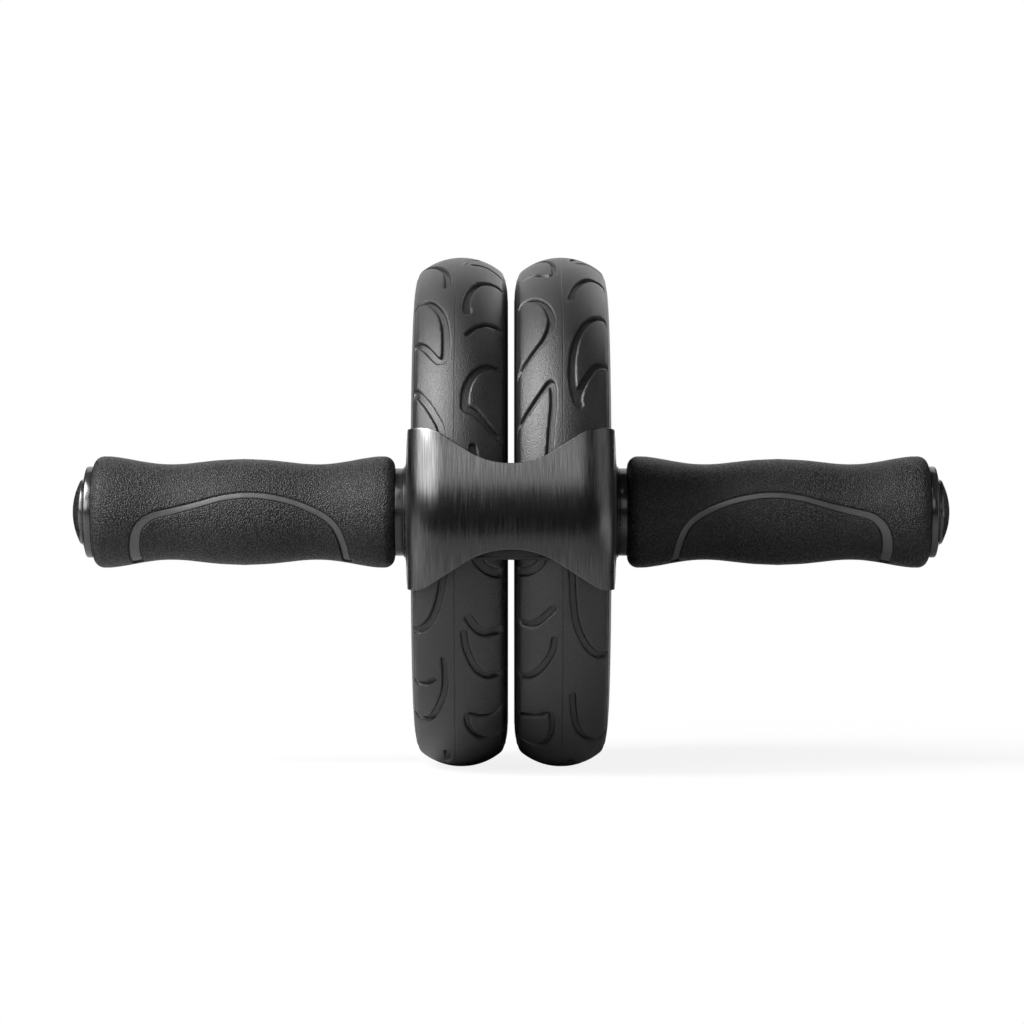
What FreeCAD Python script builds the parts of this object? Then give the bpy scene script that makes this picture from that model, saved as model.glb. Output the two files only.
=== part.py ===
import FreeCAD, Part
import math
import operator
import os

import Sketcher

# An ab wheel roller: two tyres side by side on one axle, a metal guard across their front, and a
# foam grip on each side. The axle lies along X, Z is up and the guard faces -Y. The roller stands
# on its tyres, so the floor is at Z = 0 and the axle is one tyre radius above it.
# All lengths are in millimetres. Distances along X are measured from the middle of the axle.

SIZES = {
    # Tyre, measured from its own middle plane
    "tyre_radius": 95,
    "tyre_centre": 18.2,
    "tyre_half_width": 16.8,
    "tread_half_width": 15,
    "crown_drop": 5.5,
    "groove_depth": 1.4,
    "sidewall_top": 80,
    "sidewall_foot": 76,
    "sidewall_curve": 25,
    "bead_radius": 73,
    "bead_round": 3,
    "rim_seat_radius": 78,
    "rim_half_width": 13.5,
    # Wheel moulding
    "rim_inside_radius": 69.5,
    "rim_flange_radius": 72.8,
    "rim_flange_half_width": 15.2,
    "web_half_thickness": 2.2,
    "hub_radius": 21,
    "hub_shoulder_radius": 13.4,
    "hub_recess": 0.2,
    "rib_thickness": 3,
    "rib_half_width": 11,
    "rib_overlap": 0.8,
    # Ball bearing 15 x 32 x 9
    "bearing_bore_radius": 7.5,
    "bearing_radius": 16,
    "bearing_width": 9,
    "ball_radius": 2.38,
    "ball_circle_radius": 11.75,
    "race_clearance": 0.07,
    "race_half_width": 2.05,
    "inner_land_radius": 10.4,
    "outer_land_radius": 13.1,
    "shield_seat_radius": 13.7,
    "shield_seat_depth": 0.7,
    "shield_bore_radius": 10.7,
    "shield_recess": 0.1,
    "cage_bore_radius": 11.1,
    "cage_radius": 12.4,
    "cage_half_width": 3,
    "pocket_clearance": 0.1,
    # Axle and the tubes that space the bearings along it
    "axle_radius": 7.49,
    "axle_half_length": 142.5,
    "flat_half_height": 6,
    "flat_start": 38.2,
    "tapped_radius": 3.4,
    "tapped_depth": 25,
    "centre_spacer_half": 2.4,
    "bearing_spacing": 14,
    "spacer_radius": 10.2,
    # Guard, one bent sheet
    "cover_wall": 1.2,
    "cover_front_radius": 99.5,
    "cover_half_width": 36.5,
    "cover_corner": 10,
    "cheek_foot": 38.4,
    "cheek_foot_radius": 21,
    "boss_face": 39.6,
    "boss_radius": 17.3,
    "cover_top_middle": 17.3,
    "cover_top_side": 29.8,
    "cover_low_middle": 13.2,
    "cover_low_side": 27.4,
    "saddle_flat": 5,
    "saddle_bend": 15.5,
    "saddle_rise": 24.5,
    "saddle_side": 33,
    "saddle_inner_curve": 20,
    "saddle_outer_curve": 15,
    "cheek_round": 20,
    "key_clearance": 0.05,
    # Stiffener inside the front of the guard
    "liner_inside_radius": 95.8,
    "liner_half_width": 26,
    "liner_top": 15.5,
    "liner_low": 16.9,
    # Handle
    "collar_bore_radius": 7.6,
    "collar_washer_radius": 17,
    "collar_washer_thickness": 0.5,
    "collar_radius": 16.4,
    "grip_start": 43.4,
    "grip_end": 155.9,
    "core_radius": 13.5,
    "core_end": 154.4,
    "core_pocket_radius": 11.5,
    "core_pocket_floor": 143,
    # Foam grip outline, measured from the middle of the grip
    "grip_end_radius": 20.75,
    "grip_corner": 3.8,
    "grip_end_curve": 31,
    "grip_bend_outer": 40,
    "grip_bend_outer_radius": 19.25,
    "grip_waist_curve": 66,
    "grip_bend_inner": 15.5,
    "grip_bend_inner_radius": 18.8,
    "grip_middle_curve": 112.8,
    # Arched strip let into the foam
    "inlay_recess": 0.25,
    "inlay_thickness": 1.2,
    "inlay_foot": 17,
    # End fixing
    "washer_thickness": 1.6,
    "washer_radius": 11.2,
    "washer_bore_radius": 4.3,
    "screw_radius": 3.38,
    "screw_length": 24,
    "screw_head_radius": 6.5,
    "screw_head_height": 4.8,
    "socket_radius": 3.46,
    "socket_depth": 3,
    # End cap, a stepped ring round a domed disc
    "skirt_start": 150,
    "skirt_radius": 11.45,
    "skirt_bore_radius": 9.4,
    "cap_radius": 17.07,
    "cap_rim_end": 157.5,
    "cap_shoulder": 159,
    "cap_shoulder_radius": 15.6,
    "cap_lip": 160.5,
    "cap_lip_radius": 13.2,
    "cap_recess_radius": 12.6,
    "cap_recess_floor": 158,
    "disc_stem_start": 153.5,
    "disc_stem_radius": 9.35,
    "disc_stem_bore": 7.4,
    "disc_back": 157.6,
    "disc_radius": 12.3,
    "disc_edge": 161.2,
    "dome_top": 163.95,
}

BALL_COUNT = 8
RIB_COUNT = 8
TREAD_STEP = 30

doc = FreeCAD.newDocument("ab_wheel_roller")
sheet = doc.addObject("Spreadsheet::Sheet", "Sizes")
for row, (word, number) in enumerate(SIZES.items(), start=1):
    sheet.set(f"A{row}", word)
    sheet.set(f"B{row}", str(number))
    sheet.setAlias(f"B{row}", word)
doc.recompute()

OPERATIONS = {"+": operator.add, "-": operator.sub, "*": operator.mul, "/": operator.truediv}


class Size:
    """A length from the sheet, or one worked out from several: its expression and its value."""

    def __init__(self, text, value):
        self.text = text
        self.value = value

    def joined(self, sign, other):
        other = as_size(other)
        value = OPERATIONS[sign](self.value, other.value)
        return Size(f"({self.text} {sign} {other.text})", value)

    def __add__(self, other):
        return self.joined("+", other)

    def __sub__(self, other):
        return self.joined("-", other)

    def __mul__(self, other):
        return self.joined("*", other)

    def __truediv__(self, other):
        return self.joined("/", other)


def as_size(number):
    return number if isinstance(number, Size) else Size(f"({number})", float(number))


class Sheet:
    """The driving sizes by name: SIZE.tyre_radius and so on."""

    def __getattr__(self, word):
        return Size(f"Sizes.{word}", float(sheet.get(word)))


SIZE = Sheet()
AXLE_HEIGHT = SIZE.tyre_radius
SUB_PARTS = []


def keep(item, label):
    """Name a finished sub-part and put it among those that are written out."""
    item.Label = label
    SUB_PARTS.append(item)
    return item


def bind(item, prop, size):
    item.setExpression(prop, as_size(size).text)


def origin_feature(body, role):
    return next(f for f in body.Origin.OriginFeatures if f.Role == role)


def new_body(name):
    body = doc.addObject("PartDesign::Body", name)
    bind(body, "Placement.Base.z", AXLE_HEIGHT)
    return body


def mirrored(sign, corners):
    """The same outline on the other side of the middle: X and the sense of each arc change sign."""
    return [
        (as_size(c[0]) * sign, c[1]) + tuple(as_size(bend) * sign for bend in c[2:]) for c in corners
    ]


def outline(body, plane, name, corners, turn=0):
    """A closed outline on one of the body's own planes, turned about X by some degrees.
    Each corner is two lengths; the edge that leaves it is straight, or an arc with the radius given
    third (counter-clockwise, or clockwise where it is negative)."""
    sketch = body.newObject("Sketcher::SketchObject", name)
    sketch.AttachmentSupport = [(origin_feature(body, plane), "")]
    sketch.MapMode = "FlatFace"
    sketch.AttachmentOffset = FreeCAD.Placement(
        FreeCAD.Vector(), FreeCAD.Rotation(FreeCAD.Vector(1, 0, 0), turn)
    )
    corners = [tuple(as_size(part) for part in corner) for corner in corners]
    places = [FreeCAD.Vector(c[0].value, c[1].value, 0) for c in corners]
    starts = []
    ends = []
    for number, corner in enumerate(corners):
        here = places[number]
        there = places[(number + 1) % len(places)]
        if len(corner) < 3:
            edge = sketch.addGeometry(Part.LineSegment(here, there), False)
            starts.append((edge, 1))
            ends.append((edge, 2))
            continue
        radius = abs(corner[2].value)
        sense = math.copysign(1, corner[2].value)
        chord = there - here
        reach = math.sqrt(max(radius**2 - (chord.Length / 2) ** 2, 0))
        side = FreeCAD.Vector(-chord.y, chord.x, 0).normalize() * sense
        centre = (here + there) / 2 + side * reach
        first, last = (here, there) if sense > 0 else (there, here)
        circle = Part.Circle(centre, FreeCAD.Vector(0, 0, 1), radius)
        angles = [math.atan2(p.y - centre.y, p.x - centre.x) for p in (first, last)]
        edge = sketch.addGeometry(Part.ArcOfCircle(circle, angles[0], angles[1]), False)
        starts.append((edge, 1 if sense > 0 else 2))
        ends.append((edge, 2 if sense > 0 else 1))
        limit = sketch.addConstraint(Sketcher.Constraint("Radius", edge, radius))
        bind(sketch, f"Constraints[{limit}]", corner[2] * sense)
    for number, corner in enumerate(corners):
        edge, end = starts[number]
        sketch.addConstraint(Sketcher.Constraint("Coincident", *ends[number - 1], edge, end))
        for kind, axis, size in (("DistanceX", -2, corner[0]), ("DistanceY", -1, corner[1])):
            if abs(size.value) < 1e-9:
                sketch.addConstraint(Sketcher.Constraint("PointOnObject", edge, end, axis))
                continue
            ways = (-1, 1, edge, end) if size.value > 0 else (edge, end, -1, 1)
            length = size * math.copysign(1, size.value)
            limit = sketch.addConstraint(Sketcher.Constraint(kind, *ways, length.value))
            bind(sketch, f"Constraints[{limit}]", length)
    return sketch


def revolve(body, name, corners):
    """Turn an outline of (distance along X, radius) corners a full turn about the axle."""
    feature = body.newObject("PartDesign::Revolution", name)
    feature.Profile = outline(body, "XY_Plane", name + "_outline", corners)
    feature.ReferenceAxis = (origin_feature(body, "X_Axis"), [""])
    feature.Angle = 360
    body.Tip = feature
    return feature


def turned(name, corners):
    """A body that is one outline turned about the axle."""
    body = new_body(name)
    revolve(body, name + "_turned", corners)
    return body


def span(sign, low, high):
    """The two ends of a length along X, in order, on the chosen side."""
    return (as_size(low), as_size(high)) if sign > 0 else (as_size(high) * -1, as_size(low) * -1)


def rod(name, low, high, radius):
    """A plain cylinder along X between two places on the axle."""
    item = doc.addObject("Part::Cylinder", name)
    item.Placement = FreeCAD.Placement(
        FreeCAD.Vector(), FreeCAD.Rotation(FreeCAD.Vector(0, 1, 0), 90)
    )
    bind(item, "Radius", radius)
    bind(item, "Height", as_size(high) - low)
    bind(item, "Placement.Base.x", low)
    bind(item, "Placement.Base.z", AXLE_HEIGHT)
    return item


def box(name, low, high):
    """A block between two corners, their Z measured from the axle."""
    item = doc.addObject("Part::Box", name)
    for prop, letter, first, last in zip(("Length", "Width", "Height"), "xyz", low, high):
        bind(item, prop, as_size(last) - first)
        bind(item, f"Placement.Base.{letter}", as_size(first) + AXLE_HEIGHT if letter == "z" else first)
    return item


def joined_by(kind, name, base, tool):
    item = doc.addObject(kind, name)
    item.Base = base
    item.Tool = tool
    return item


def cut(name, base, tool):
    return joined_by("Part::Cut", name, base, tool)


def common(name, base, tool):
    return joined_by("Part::Common", name, base, tool)


def group(name, items):
    item = doc.addObject("Part::Compound", name)
    item.Links = items
    return item


def tube(name, low, high, inside, outside):
    return cut(name, rod(name + "_solid", low, high, outside), rod(name + "_bore", low, high, inside))


def prism(name, plane, corners, length, symmetric):
    """An outline pushed out square to its plane."""
    body = new_body(name)
    feature = body.newObject("PartDesign::Pad", name + "_pad")
    feature.Profile = outline(body, plane, name + "_outline", corners)
    bind(feature, "Length", length)
    feature.SideType = "Symmetric" if symmetric else "One side"
    body.Tip = feature
    return body


SIDES = (("left", -1), ("right", 1))

# Places along the axle where one piece ends and the next begins
INNER_BEARING = SIZE.centre_spacer_half
INNER_BEARING_END = INNER_BEARING + SIZE.bearing_width
OUTER_BEARING = INNER_BEARING_END + SIZE.bearing_spacing
OUTER_BEARING_END = OUTER_BEARING + SIZE.bearing_width
CHEEK_INSIDE = SIZE.boss_face - SIZE.cover_wall
COLLAR_START = SIZE.boss_face + SIZE.collar_washer_thickness

# Axle: one steel bar with two flats at each end that key the guard and the handles, and a tapped
# hole in each end. Threads are left as plain holes.
axle_cuts = []
for side, sign in SIDES:
    low, high = span(sign, SIZE.flat_start, SIZE.axle_half_length)
    width = SIZE.axle_radius
    height = SIZE.flat_half_height
    axle_cuts.append(box(side + "_upper_flat", (low, width * -1, height), (high, width, width)))
    axle_cuts.append(box(side + "_lower_flat", (low, width * -1, width * -1), (high, width, height * -1)))
    bottom = SIZE.axle_half_length - SIZE.tapped_depth
    low, high = span(sign, bottom, SIZE.axle_half_length)
    axle_cuts.append(rod(side + "_tapped_hole", low, high, SIZE.tapped_radius))
axle_bar = rod("axle_bar", SIZE.axle_half_length * -1, SIZE.axle_half_length, SIZE.axle_radius)
keep(cut("axle_cut", axle_bar, group("axle_cuts", axle_cuts)), "axle")

# The hole that fits over the flats, used by the guard and the handle cores
key_radius = SIZE.axle_radius + SIZE.key_clearance
key_height = SIZE.flat_half_height + SIZE.key_clearance
key_reach = SIZE.grip_end
key_rod = rod("key_rod", key_reach * -1, key_reach, key_radius)
key_box = box(
    "key_box",
    (key_reach * -1, key_radius * -1, key_height * -1),
    (key_reach, key_radius, key_height),
)
key = common("key", key_rod, key_box)

# Guard: a thin channel turned about the axle, of which only the front is kept. Seen from the
# front its upper and lower edges dip between the tyres; seen from the side its cheeks narrow
# towards the axle and end in a round boss.
wall = SIZE.cover_wall
front = SIZE.cover_front_radius
corner_end = front - SIZE.cover_corner
flat_half = SIZE.cover_half_width - SIZE.cover_corner
half_section = [
    (flat_half, front, SIZE.cover_corner * -1),
    (SIZE.cover_half_width, corner_end),
    (SIZE.cheek_foot, SIZE.cheek_foot_radius),
    (SIZE.boss_face, SIZE.boss_radius),
    (SIZE.boss_face, SIZE.collar_bore_radius - 4),
    (CHEEK_INSIDE, SIZE.collar_bore_radius - 4),
    (CHEEK_INSIDE, SIZE.boss_radius - 0.4),
    (SIZE.cheek_foot - wall, SIZE.cheek_foot_radius - 0.4),
    (SIZE.cover_half_width - wall, corner_end, SIZE.cover_corner - wall),
    (flat_half, front - wall),
]
other_half = [
    (flat_half * -1, front - wall, SIZE.cover_corner - wall),
    (SIZE.cover_half_width * -1 + wall, corner_end),
    (SIZE.cheek_foot * -1 + wall, SIZE.cheek_foot_radius - 0.4),
    (CHEEK_INSIDE * -1, SIZE.boss_radius - 0.4),
    (CHEEK_INSIDE * -1, SIZE.collar_bore_radius - 4),
    (SIZE.boss_face * -1, SIZE.collar_bore_radius - 4),
    (SIZE.boss_face * -1, SIZE.boss_radius),
    (SIZE.cheek_foot * -1, SIZE.cheek_foot_radius),
    (SIZE.cover_half_width * -1, corner_end, SIZE.cover_corner * -1),
    (flat_half * -1, front),
]
cover_channel = turned("cover_channel", half_section + other_half)

beyond = SIZE.boss_face + 5


def saddle_edge(middle, side_height, sign):
    """Half of an edge seen from the front: flat between the tyres, then a curve up over the tyre."""
    height = side_height - middle
    bend = middle + height * 0.3
    rise = middle + height * 0.75
    inner = SIZE.saddle_inner_curve * sign
    outer = SIZE.saddle_outer_curve * sign * -1
    return [
        (SIZE.saddle_flat, middle * sign, inner),
        (SIZE.saddle_bend, bend * sign),
        (SIZE.saddle_rise, rise * sign, outer),
        (SIZE.saddle_side, side_height * sign),
        (beyond, side_height * sign),
    ]


upper = saddle_edge(SIZE.cover_top_middle, SIZE.cover_top_side, 1)
lower = saddle_edge(SIZE.cover_low_middle, SIZE.cover_low_side, -1)


def run_back(edge):
    """The same edge followed the other way: each arc belongs to the corner it then leaves."""
    bends = [corner[2:] for corner in edge]
    turned_bends = [tuple(bend * -1 for bend in bends[number - 1]) for number in range(len(edge))]
    return [edge[n][:2] + turned_bends[n] for n in range(len(edge) - 1, 0, -1)] + [edge[0][:2]]


front_view = upper + run_back(lower) + mirrored(-1, lower) + mirrored(-1, run_back(upper))
front_prism = prism("cover_front_view", "XZ_Plane", front_view, front + 5, symmetric=True)

round_end = SIZE.cheek_round
ahead = (front + 3) * -1
side_view = [
    (round_end * 0, round_end * -1, round_end + 0.3),
    (round_end * 0, round_end),
    (ahead, SIZE.cover_top_side),
    (ahead, SIZE.cover_low_side * -1),
]
side_prism = prism("cover_side_view", "YZ_Plane", side_view, beyond * 2, symmetric=True)
front_prism.Tip.SideType = "Two sides"
bind(front_prism.Tip, "Length2", SIZE.cheek_round + 5)
cover_blank = common("cover_blank", common("cover_views", front_prism, side_prism), cover_channel)
keep(cut("cover_keyed", cover_blank, key), "saddle_cover")

# Liner: a black moulded band bonded inside the front of the guard, just clear of the treads
liner_width = SIZE.liner_half_width
liner_ring = tube(
    "liner_ring", liner_width * -1, liner_width, SIZE.liner_inside_radius, SIZE.cover_front_radius - wall
)
liner_block = box(
    "liner_block",
    (liner_width * -1, SIZE.cover_front_radius * -1, SIZE.liner_low * -1),
    (liner_width, 0, SIZE.liner_top),
)
keep(common("liner_band", liner_ring, liner_block), "cover_liner")

# Spacers: steel tubes that hold the bearings apart and the guard off the outer bearings
keep(
    tube(
        "middle_tube",
        INNER_BEARING * -1,
        INNER_BEARING,
        SIZE.bearing_bore_radius,
        SIZE.spacer_radius,
    ),
    "centre_spacer",
)
for side, sign in SIDES:
    for name, low, high in (
        ("bearing_spacer", INNER_BEARING_END, OUTER_BEARING),
        ("outer_spacer", OUTER_BEARING_END, CHEEK_INSIDE),
    ):
        ends = span(sign, low, high)
        item = tube(f"{side}_{name}_tube", *ends, SIZE.bearing_bore_radius, SIZE.spacer_radius)
        keep(item, f"{side}_{name}")


# Ball bearings: inner ring on the axle, outer ring in the hub, balls in a cage between them and a
# shield on each face
def bearing(label, start):
    middle = start + SIZE.bearing_width / 2
    end = start + SIZE.bearing_width
    race = SIZE.ball_radius + SIZE.race_clearance
    left_race = middle - SIZE.race_half_width
    right_race = middle + SIZE.race_half_width
    inner = turned(
        label + "_inner",
        [
            (start, SIZE.bearing_bore_radius),
            (end, SIZE.bearing_bore_radius),
            (end, SIZE.inner_land_radius),
            (right_race, SIZE.inner_land_radius, race * -1),
            (left_race, SIZE.inner_land_radius),
            (start, SIZE.inner_land_radius),
        ],
    )
    keep(inner, label + "_inner_ring")
    seat = SIZE.shield_seat_depth
    outer = turned(
        label + "_outer",
        [
            (start, SIZE.bearing_radius),
            (start, SIZE.shield_seat_radius),
            (start + seat, SIZE.shield_seat_radius),
            (start + seat, SIZE.outer_land_radius),
            (left_race, SIZE.outer_land_radius, race * -1),
            (right_race, SIZE.outer_land_radius),
            (end - seat, SIZE.outer_land_radius),
            (end - seat, SIZE.shield_seat_radius),
            (end, SIZE.shield_seat_radius),
            (end, SIZE.bearing_radius),
        ],
    )
    keep(outer, label + "_outer_ring")
    balls = []
    pockets = []
    for number in range(BALL_COUNT):
        angle = math.tau * number / BALL_COUNT
        for spheres, kind, extra in ((balls, "ball", 0), (pockets, "pocket", SIZE.pocket_clearance)):
            sphere = doc.addObject("Part::Sphere", f"{label}_{kind}")
            bind(sphere, "Radius", SIZE.ball_radius + extra)
            bind(sphere, "Placement.Base.x", middle)
            bind(sphere, "Placement.Base.y", SIZE.ball_circle_radius * math.cos(angle))
            bind(sphere, "Placement.Base.z", SIZE.ball_circle_radius * math.sin(angle) + AXLE_HEIGHT)
            spheres.append(sphere)
    keep(group(label + "_ball_set", balls), label + "_balls")
    half = SIZE.cage_half_width
    ring = tube(label + "_cage_ring", middle - half, middle + half, SIZE.cage_bore_radius, SIZE.cage_radius)
    keep(cut(label + "_cage_cut", ring, group(label + "_pockets", pockets)), label + "_cage")
    shields = []
    for name, low, high in (
        ("left_shield", start + SIZE.shield_recess, start + seat),
        ("right_shield", end - seat, end - SIZE.shield_recess),
    ):
        shields.append(tube(f"{label}_{name}", low, high, SIZE.shield_bore_radius, SIZE.shield_seat_radius))
    keep(group(label + "_shield_pair", shields), label + "_shields")


for side, sign in SIDES:
    for name, low, high in (
        ("inner_bearing", INNER_BEARING, INNER_BEARING_END),
        ("outer_bearing", OUTER_BEARING, OUTER_BEARING_END),
    ):
        bearing(f"{side}_{name}", span(sign, low, high)[0])

# Wheel rim: hub, web, ribs and rim moulded in one piece. Shoulders inside the hub stop the two
# bearings; a flange on each side of the rim covers the foot of the tyre.
hub_start = INNER_BEARING + SIZE.hub_recess
hub_end = OUTER_BEARING_END - SIZE.hub_recess
for side, sign in SIDES:
    centre = SIZE.tyre_centre
    web = SIZE.web_half_thickness
    flange = SIZE.rim_flange_half_width
    seat = SIZE.rim_half_width
    section = [
        (hub_start, SIZE.bearing_radius),
        (INNER_BEARING_END, SIZE.bearing_radius),
        (INNER_BEARING_END, SIZE.hub_shoulder_radius),
        (OUTER_BEARING, SIZE.hub_shoulder_radius),
        (OUTER_BEARING, SIZE.bearing_radius),
        (hub_end, SIZE.bearing_radius),
        (hub_end, SIZE.hub_radius),
        (centre + web, SIZE.hub_radius),
        (centre + web, SIZE.rim_inside_radius),
        (centre + flange, SIZE.rim_inside_radius),
        (centre + flange, SIZE.rim_flange_radius),
        (centre + seat, SIZE.rim_flange_radius),
        (centre + seat, SIZE.rim_seat_radius),
        (centre - seat, SIZE.rim_seat_radius),
        (centre - seat, SIZE.rim_flange_radius),
        (centre - flange, SIZE.rim_flange_radius),
        (centre - flange, SIZE.rim_inside_radius),
        (centre - web, SIZE.rim_inside_radius),
        (centre - web, SIZE.hub_radius),
        (hub_start, SIZE.hub_radius),
    ]
    body = new_body(side + "_rim")
    revolve(body, side + "_rim_section", mirrored(sign, section))
    foot = SIZE.hub_radius - SIZE.rib_overlap
    top = SIZE.rim_inside_radius + SIZE.rib_overlap
    rib_outline = [
        (centre - SIZE.rib_half_width, foot),
        (centre + SIZE.rib_half_width, foot),
        (centre + SIZE.rib_half_width, top),
        (centre - SIZE.rib_half_width, top),
    ]
    rib = body.newObject("PartDesign::Pad", side + "_rib")
    rib.Profile = outline(body, "XY_Plane", side + "_rib_outline", mirrored(sign, rib_outline))
    bind(rib, "Length", SIZE.rib_thickness)
    rib.SideType = "Symmetric"
    body.Tip = rib
    ribs = body.newObject("PartDesign::PolarPattern", side + "_ribs")
    ribs.Originals = [rib]
    ribs.Axis = (origin_feature(body, "X_Axis"), [""])
    ribs.Angle = 360
    ribs.Occurrences = RIB_COUNT
    body.Tip = ribs
    keep(body, side + "_wheel_rim")

# Tyre: rubber moulded over the rim. The tread is a thin skin that the grooves are cut right
# through; the carcass below then closes them, so every groove has the same depth. The grooves are
# hooks, short bows and slanting bars, and turn over halfway round so that the tyre grips both ways.
# Each is drawn across the tyre and along its circumference, from its own middle.
HOOK = [
    (-18, 13.4, -9.2),
    (-4.6, 3),
    (-4.4, -15.4),
    (-7.2, -15.6),
    (-13.6, -10),
    (-12.4, -8),
    (-6.8, -12.6),
    (-7, 2.5, 7.2),
    (-18, 10.8),
]
CROOK = [
    (17.5, 3.5, 9.2),
    (0.2, 2),
    (-0.6, -10.5),
    (1.8, -11.4),
    (2.6, -0.2, -7.5),
    (17.5, 0),
]
BOW = [(0.6, -3.4, -6.5), (13.4, -2.6), (11, -2.7, 4.3), (3, -3.3)]
BAR = [(0.4, 1.8), (1.3, 3.9), (17.5, -3.4), (17.5, -5.8)]
GROOVES = (
    ("hook", HOOK, 16.8, 6),
    ("crook", CROOK, 29.1, 5),
    ("bow", BOW, 17.4, 6),
    ("bar", BAR, 20.5, 6),
)


def tread_groove(body, name, shape, angle, half, count):
    """One groove of the upper (half = 1) or lower (half = -1) part of the tread, repeated round it."""
    corners = [
        (centre + c[0], as_size(c[1]) * half) + tuple(as_size(bend) * half for bend in c[2:])
        for c in shape
    ]
    pocket = body.newObject("PartDesign::Pocket", name)
    pocket.Profile = outline(body, "XZ_Plane", name + "_outline", corners, turn=-angle * half)
    bind(pocket, "Length", SIZE.tyre_radius * 1.2)
    pocket.Reversed = True
    body.Tip = pocket
    ring = body.newObject("PartDesign::PolarPattern", name + "_ring")
    ring.Originals = [pocket]
    ring.Axis = (origin_feature(body, "X_Axis"), [""])
    ring.Angle = TREAD_STEP * (count - 1)
    ring.Occurrences = count
    ring.Reversed = half > 0
    body.Tip = ring


for side, sign in SIDES:
    centre = SIZE.tyre_centre * sign
    half_tread = SIZE.tread_half_width
    shoulder = SIZE.tyre_radius - SIZE.crown_drop
    crown = (half_tread * half_tread + SIZE.crown_drop * SIZE.crown_drop) / (SIZE.crown_drop * 2)
    depth = SIZE.groove_depth
    body = new_body(side + "_tyre_body")
    revolve(
        body,
        side + "_tread_skin",
        [
            (centre - half_tread, shoulder, crown * -1),
            (centre + half_tread, shoulder),
            (centre + half_tread, shoulder - depth, crown),
            (centre - half_tread, shoulder - depth),
        ],
    )
    for half, part in ((1, "upper"), (-1, "lower")):
        for name, shape, angle, count in GROOVES:
            tread_groove(body, f"{side}_{part}_{name}", shape, angle, half, count)
    half_width = SIZE.tyre_half_width
    seat = SIZE.rim_half_width
    bulge = SIZE.sidewall_curve
    bead = SIZE.bead_round
    revolve(
        body,
        side + "_carcass",
        [
            (centre - half_tread, shoulder - depth, crown * -1),
            (centre + half_tread, shoulder - depth, bulge * -1),
            (centre + half_width, SIZE.sidewall_top),
            (centre + half_width, SIZE.sidewall_foot, bead * -1),
            (centre + half_width - bead, SIZE.bead_radius),
            (centre + seat, SIZE.bead_radius),
            (centre + seat, SIZE.rim_seat_radius),
            (centre - seat, SIZE.rim_seat_radius),
            (centre - seat, SIZE.bead_radius),
            (centre - half_width + bead, SIZE.bead_radius, bead * -1),
            (centre - half_width, SIZE.sidewall_foot),
            (centre - half_width, SIZE.sidewall_top, bulge * -1),
        ],
    )
    keep(body, side + "_tyre")

# Handles: washer, collar, hard core, foam grip with its arched strip, end fixing and end cap
grip_middle = (SIZE.grip_start + SIZE.grip_end) / 2
grip_half = (SIZE.grip_end - SIZE.grip_start) / 2


def grip_outline(inset):
    """The foam's outline, or the same outline drawn a little way inside its surface."""
    end = SIZE.grip_end_radius - inset
    corner = SIZE.grip_corner
    outer = SIZE.grip_bend_outer
    outer_radius = SIZE.grip_bend_outer_radius - inset
    inner = SIZE.grip_bend_inner
    inner_radius = SIZE.grip_bend_inner_radius - inset
    end_curve = (SIZE.grip_end_curve - inset) * -1
    waist = SIZE.grip_waist_curve + inset
    middle_curve = (SIZE.grip_middle_curve - inset) * -1
    shoulder = grip_half - corner
    return [
        (SIZE.grip_start, SIZE.core_radius),
        (SIZE.grip_start, end - corner, corner * -1),
        (grip_middle - shoulder, end, end_curve),
        (grip_middle - outer, outer_radius, waist),
        (grip_middle - inner, inner_radius, middle_curve),
        (grip_middle + inner, inner_radius, waist),
        (grip_middle + outer, outer_radius, end_curve),
        (grip_middle + shoulder, end, corner * -1),
        (SIZE.grip_end, end - corner),
        (SIZE.grip_end, SIZE.core_radius),
    ]


# The strip's two edges as seen from the front: a steep leg near each end of the grip, wider at the
# outer end, and a long bow between them
foot = SIZE.inlay_foot * -1
INLAY_EDGES = [
    (59.9, foot),
    (61.5, -11.4, -18),
    (66.6, -2.5, -60),
    (96, 7.5, -85),
    (126, 1.8),
    (132.8, -0.3, -11),
    (140.9, -12.2),
    (141.2, foot),
    (136.6, foot),
    (136.9, -12.2, 8),
    (131.1, -2.7),
    (124, -1.2),
    (112, 2.5, 85),
    (95.5, 5.2, 58),
    (70, -2.5, 16),
    (64.3, -10.5),
    (62.4, foot),
]

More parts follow.
